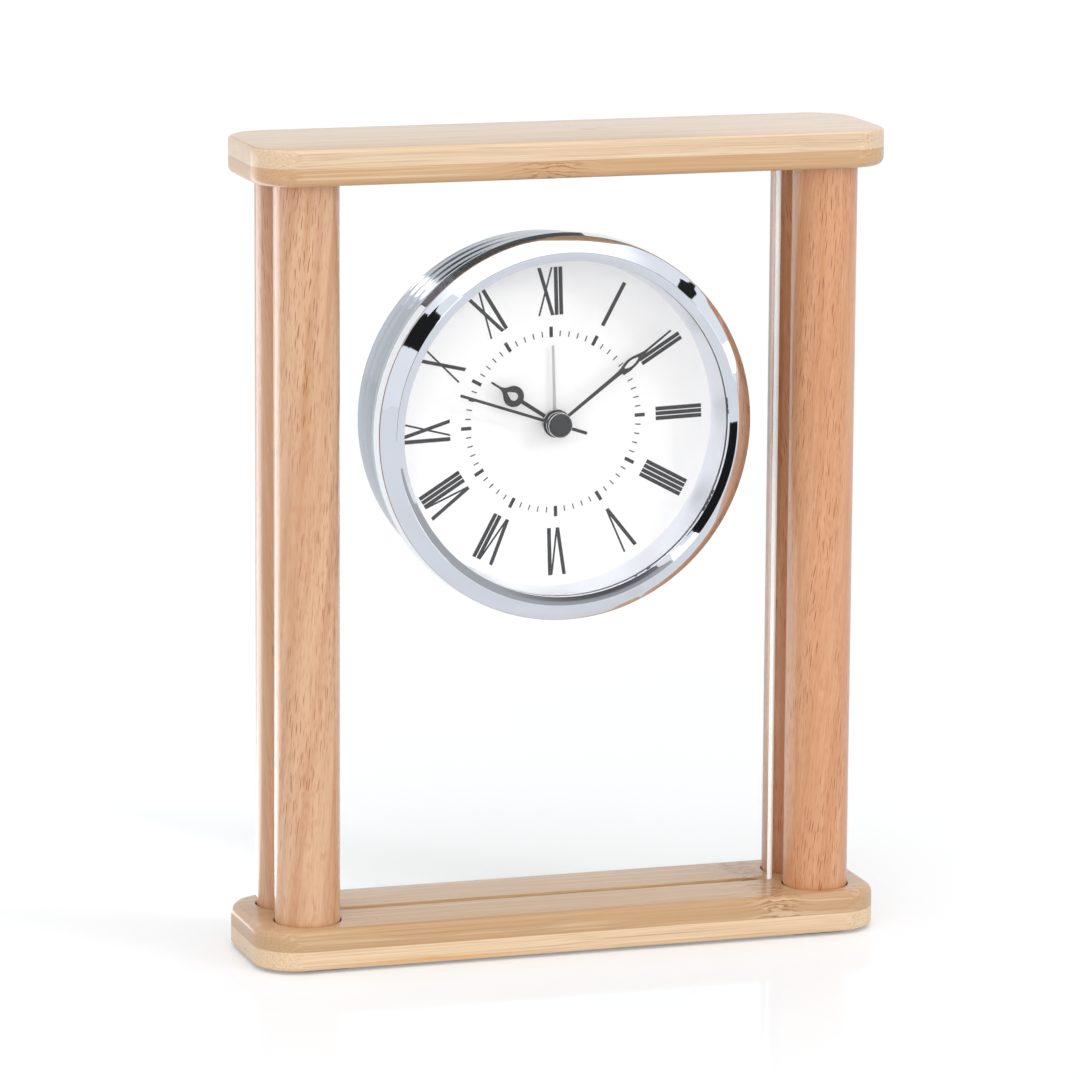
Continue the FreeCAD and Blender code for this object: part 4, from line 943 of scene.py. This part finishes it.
def sheet_of(name, outline, lift, finish, axes, place):
    """A flat sheet for the studio: an outline's (x, y) lifted off its own plane, turned and placed."""
    mesh = bpy.data.meshes.new(name)
    mesh.from_pydata([(x * MM, y * MM, lift * MM) for x, y in outline], [], [list(range(len(outline)))])
    mesh.materials.append(finish)
    return put(bpy.data.objects.new(name, mesh), axes, place)


def make_floor():
    """White board: it takes the clock's shadow and a faint mirror image of its foot."""
    f = Finish("white_board")
    paper = f.node("BsdfDiffuse", {}, {"Color": (0.78, 0.79, 0.8, 1.0)})
    gloss = f.node("BsdfGlossy", {}, {"Color": (0.8, 0.9, 1.0, 1.0), "Roughness": 0.01})
    x, y, _ = f.place()
    before_clock = f.hump(y, -60.0, 120.0) * f.rise(f.math("ABSOLUTE", x), 160.0, 60.0)
    sheet = f.node("MixShader", {}, {0: before_clock * 0.07 + 0.02, 1: paper, 2: gloss})
    direct, mirrored = ways_seen(f)
    tint = f.mix(WHITE, (0.35, 0.55, 1.0, 1.0), mirrored)
    lift = f.node("Emission", {}, {"Color": tint, "Strength": direct * 0.23 + mirrored * 0.08})
    f.node("OutputMaterial", {}, {"Surface": f.node("AddShader", {}, {0: sheet, 1: lift})})
    outline = panel(2 * FLOOR_REACH, 2 * FLOOR_REACH)
    sheet_of("floor", outline, 0.0, f.owner, np.eye(3), (0, 0, 0))


def lamp(name, azimuth, elevation, spread, share):
    """A far soft lamp, spread degrees wide; share is what it adds to a white surface that faces it."""
    light = bpy.data.lights.new(name, "SUN")
    light.angle = math.radians(spread)
    light.energy = share * math.pi
    back = outward(azimuth, elevation)
    obj = put(bpy.data.objects.new(name, light), facing(back), back * LAMP_DISTANCE)
    obj.visible_glossy = False


def card(name, azimuth, elevation, distance, outline, low_grey, high_grey=None, fade=0.0,
         through_glass=False):
    """A card that only reflections show, facing the clock head.

    It has an outline about its centre and a grey at its lower and at its upper edge. Its ends fade to
    the room's white over fade. A card behind the pane is through_glass where the bezel, which is in
    front of the pane, mirrors it too.
    """
    f = Finish(name)
    u, v, _ = f.place()
    low = min(y for _, y in outline)
    high = max(y for _, y in outline)
    ends = (low_grey, low_grey if high_grey is None else high_grey)
    colour = f.mix(*[(grey, grey * 1.02, grey * 1.06, 1.0) for grey in ends], f.rise(v, low, high))
    if fade:
        reach = max(x for x, _ in outline)
        colour = f.mix(colour, ROOM_WHITE, f.rise(f.math("ABSOLUTE", u), reach - fade, reach))
    f.node("OutputMaterial", {}, {"Surface": f.node("Emission", {}, {"Color": colour})})
    back = outward(azimuth, elevation)
    obj = sheet_of(name, outline, 0.0, f.owner, facing(back), CARD_CENTRE + back * distance)
    obj.visible_camera = obj.visible_diffuse = obj.visible_shadow = False
    obj.visible_transmission = through_glass


def floor_glow():
    """A pale strip of floor, behind the clock on its left, that only reflections show."""
    f = Finish("floor_glow")
    x, y, _ = f.place()
    fade = f.rise(f.math("ABSOLUTE", x / y + 1.05), 1.1, 0.35)
    pale = (0.96, 0.97, 1.0)
    glow = f.mix(dimmed(pale, GLOW_DIM), dimmed(pale, GLOW_BRIGHT), fade)
    f.node("OutputMaterial", {}, {"Surface": f.node("Emission", {}, {"Color": glow})})
    obj = sheet_of("floor_glow", [(-60, 34), (-1500, 800), (-700, 1500), (-24, 50)], GLOW_HEIGHT, f.owner,
                   np.eye(3), (0, 0, 0))
    obj.visible_camera = obj.visible_diffuse = obj.visible_shadow = obj.visible_transmission = False


def make_world():
    """A plain bright room: white where it is seen, a little cooler where metal mirrors it."""
    world = bpy.context.scene.world or bpy.data.worlds.new("studio")
    bpy.context.scene.world = world
    f = Finish("studio", world)
    direct, mirrored = ways_seen(f)
    colour = f.mix(WHITE, ROOM_WHITE, mirrored)
    strength = AMBIENT + (direct + mirrored) * (1.0 - AMBIENT)
    back = f.node("Background", {}, {"Color": colour, "Strength": strength})
    f.node("OutputWorld", {}, {"Surface": back})


make_floor()
floor_glow()
lamp("key", 42.0, 24.0, 7.0, 0.1)
lamp("front", -24.0, 12.0, 40.0, 0.18)
lamp("top", -10.0, 70.0, 50.0, 0.23)
card("dark_side", -20.0, 0.0, 600.0, [
    (-100, -106), (60, -108), (130, 20), (165, 78), (-90, 300), (-100, 100)], 0.012)
card("glint", -20.0, 0.0, 600.0, [(30, 196), (160, 82), (215, 140), (70, 300)], 2.6)
card("camera_stand", -32.0, 14.0, 1200.0, [
    (-420, 150), (-235, 140), (-150, 96), (-60, 66), (30, 20), (150, 10), (250, 190), (160, 232),
    (104, 262), (60, 395), (-90, 392), (-240, 350), (-420, 350)], 0.015)
card("window_frame", 66.0, 19.0, 350.0, [
    (-43, 50), (-24, 64), (0, 69), (23, 66), (39, 54), (17, 38), (-12, 26), (-36, 30)], 0.02)
card("lattice", 43.0, 1.0, 700.0, [(-92, 60), (0, 118), (100, 30), (60, -40), (-20, -56)], 2.6)
card("grey_wall", 25.0, 15.0, 1200.0, [
    (-760, -140), (500, -190), (700, -430), (900, -520), (950, -120), (740, 180), (640, 260),
    (-740, 260)], 0.45)
card("dark_wall", 25.0, 15.0, 1200.0, [(-740, 260), (640, 260), (450, 560), (-700, 560)], 0.45, 0.04)
card("dark_top", 25.0, 15.0, 1200.0, [(-700, 560), (450, 560), (300, 1000), (-700, 1000)], 0.04)
card("soft_box", 6.0, 56.0, 268.0, panel(430.0, 150.0), 1.5, fade=120.0)
card("side_box", 72.0, 5.0, 1200.0, panel(160.0, 150.0), 1.7)
card("rim_light", -170.0, 19.0, 1200.0, panel(120.0, 52.0), 4.5)
card("dark_ceiling", -170.0, 40.0, 700.0, [
    (124, -250), (300, 60), (300, 230), (-60, 260), (-300, 190), (-440, -60), (-420, -236), (-276, -230),
    (-72, -236), (40, -240)], 0.04, 0.02, through_glass=True)
make_world()
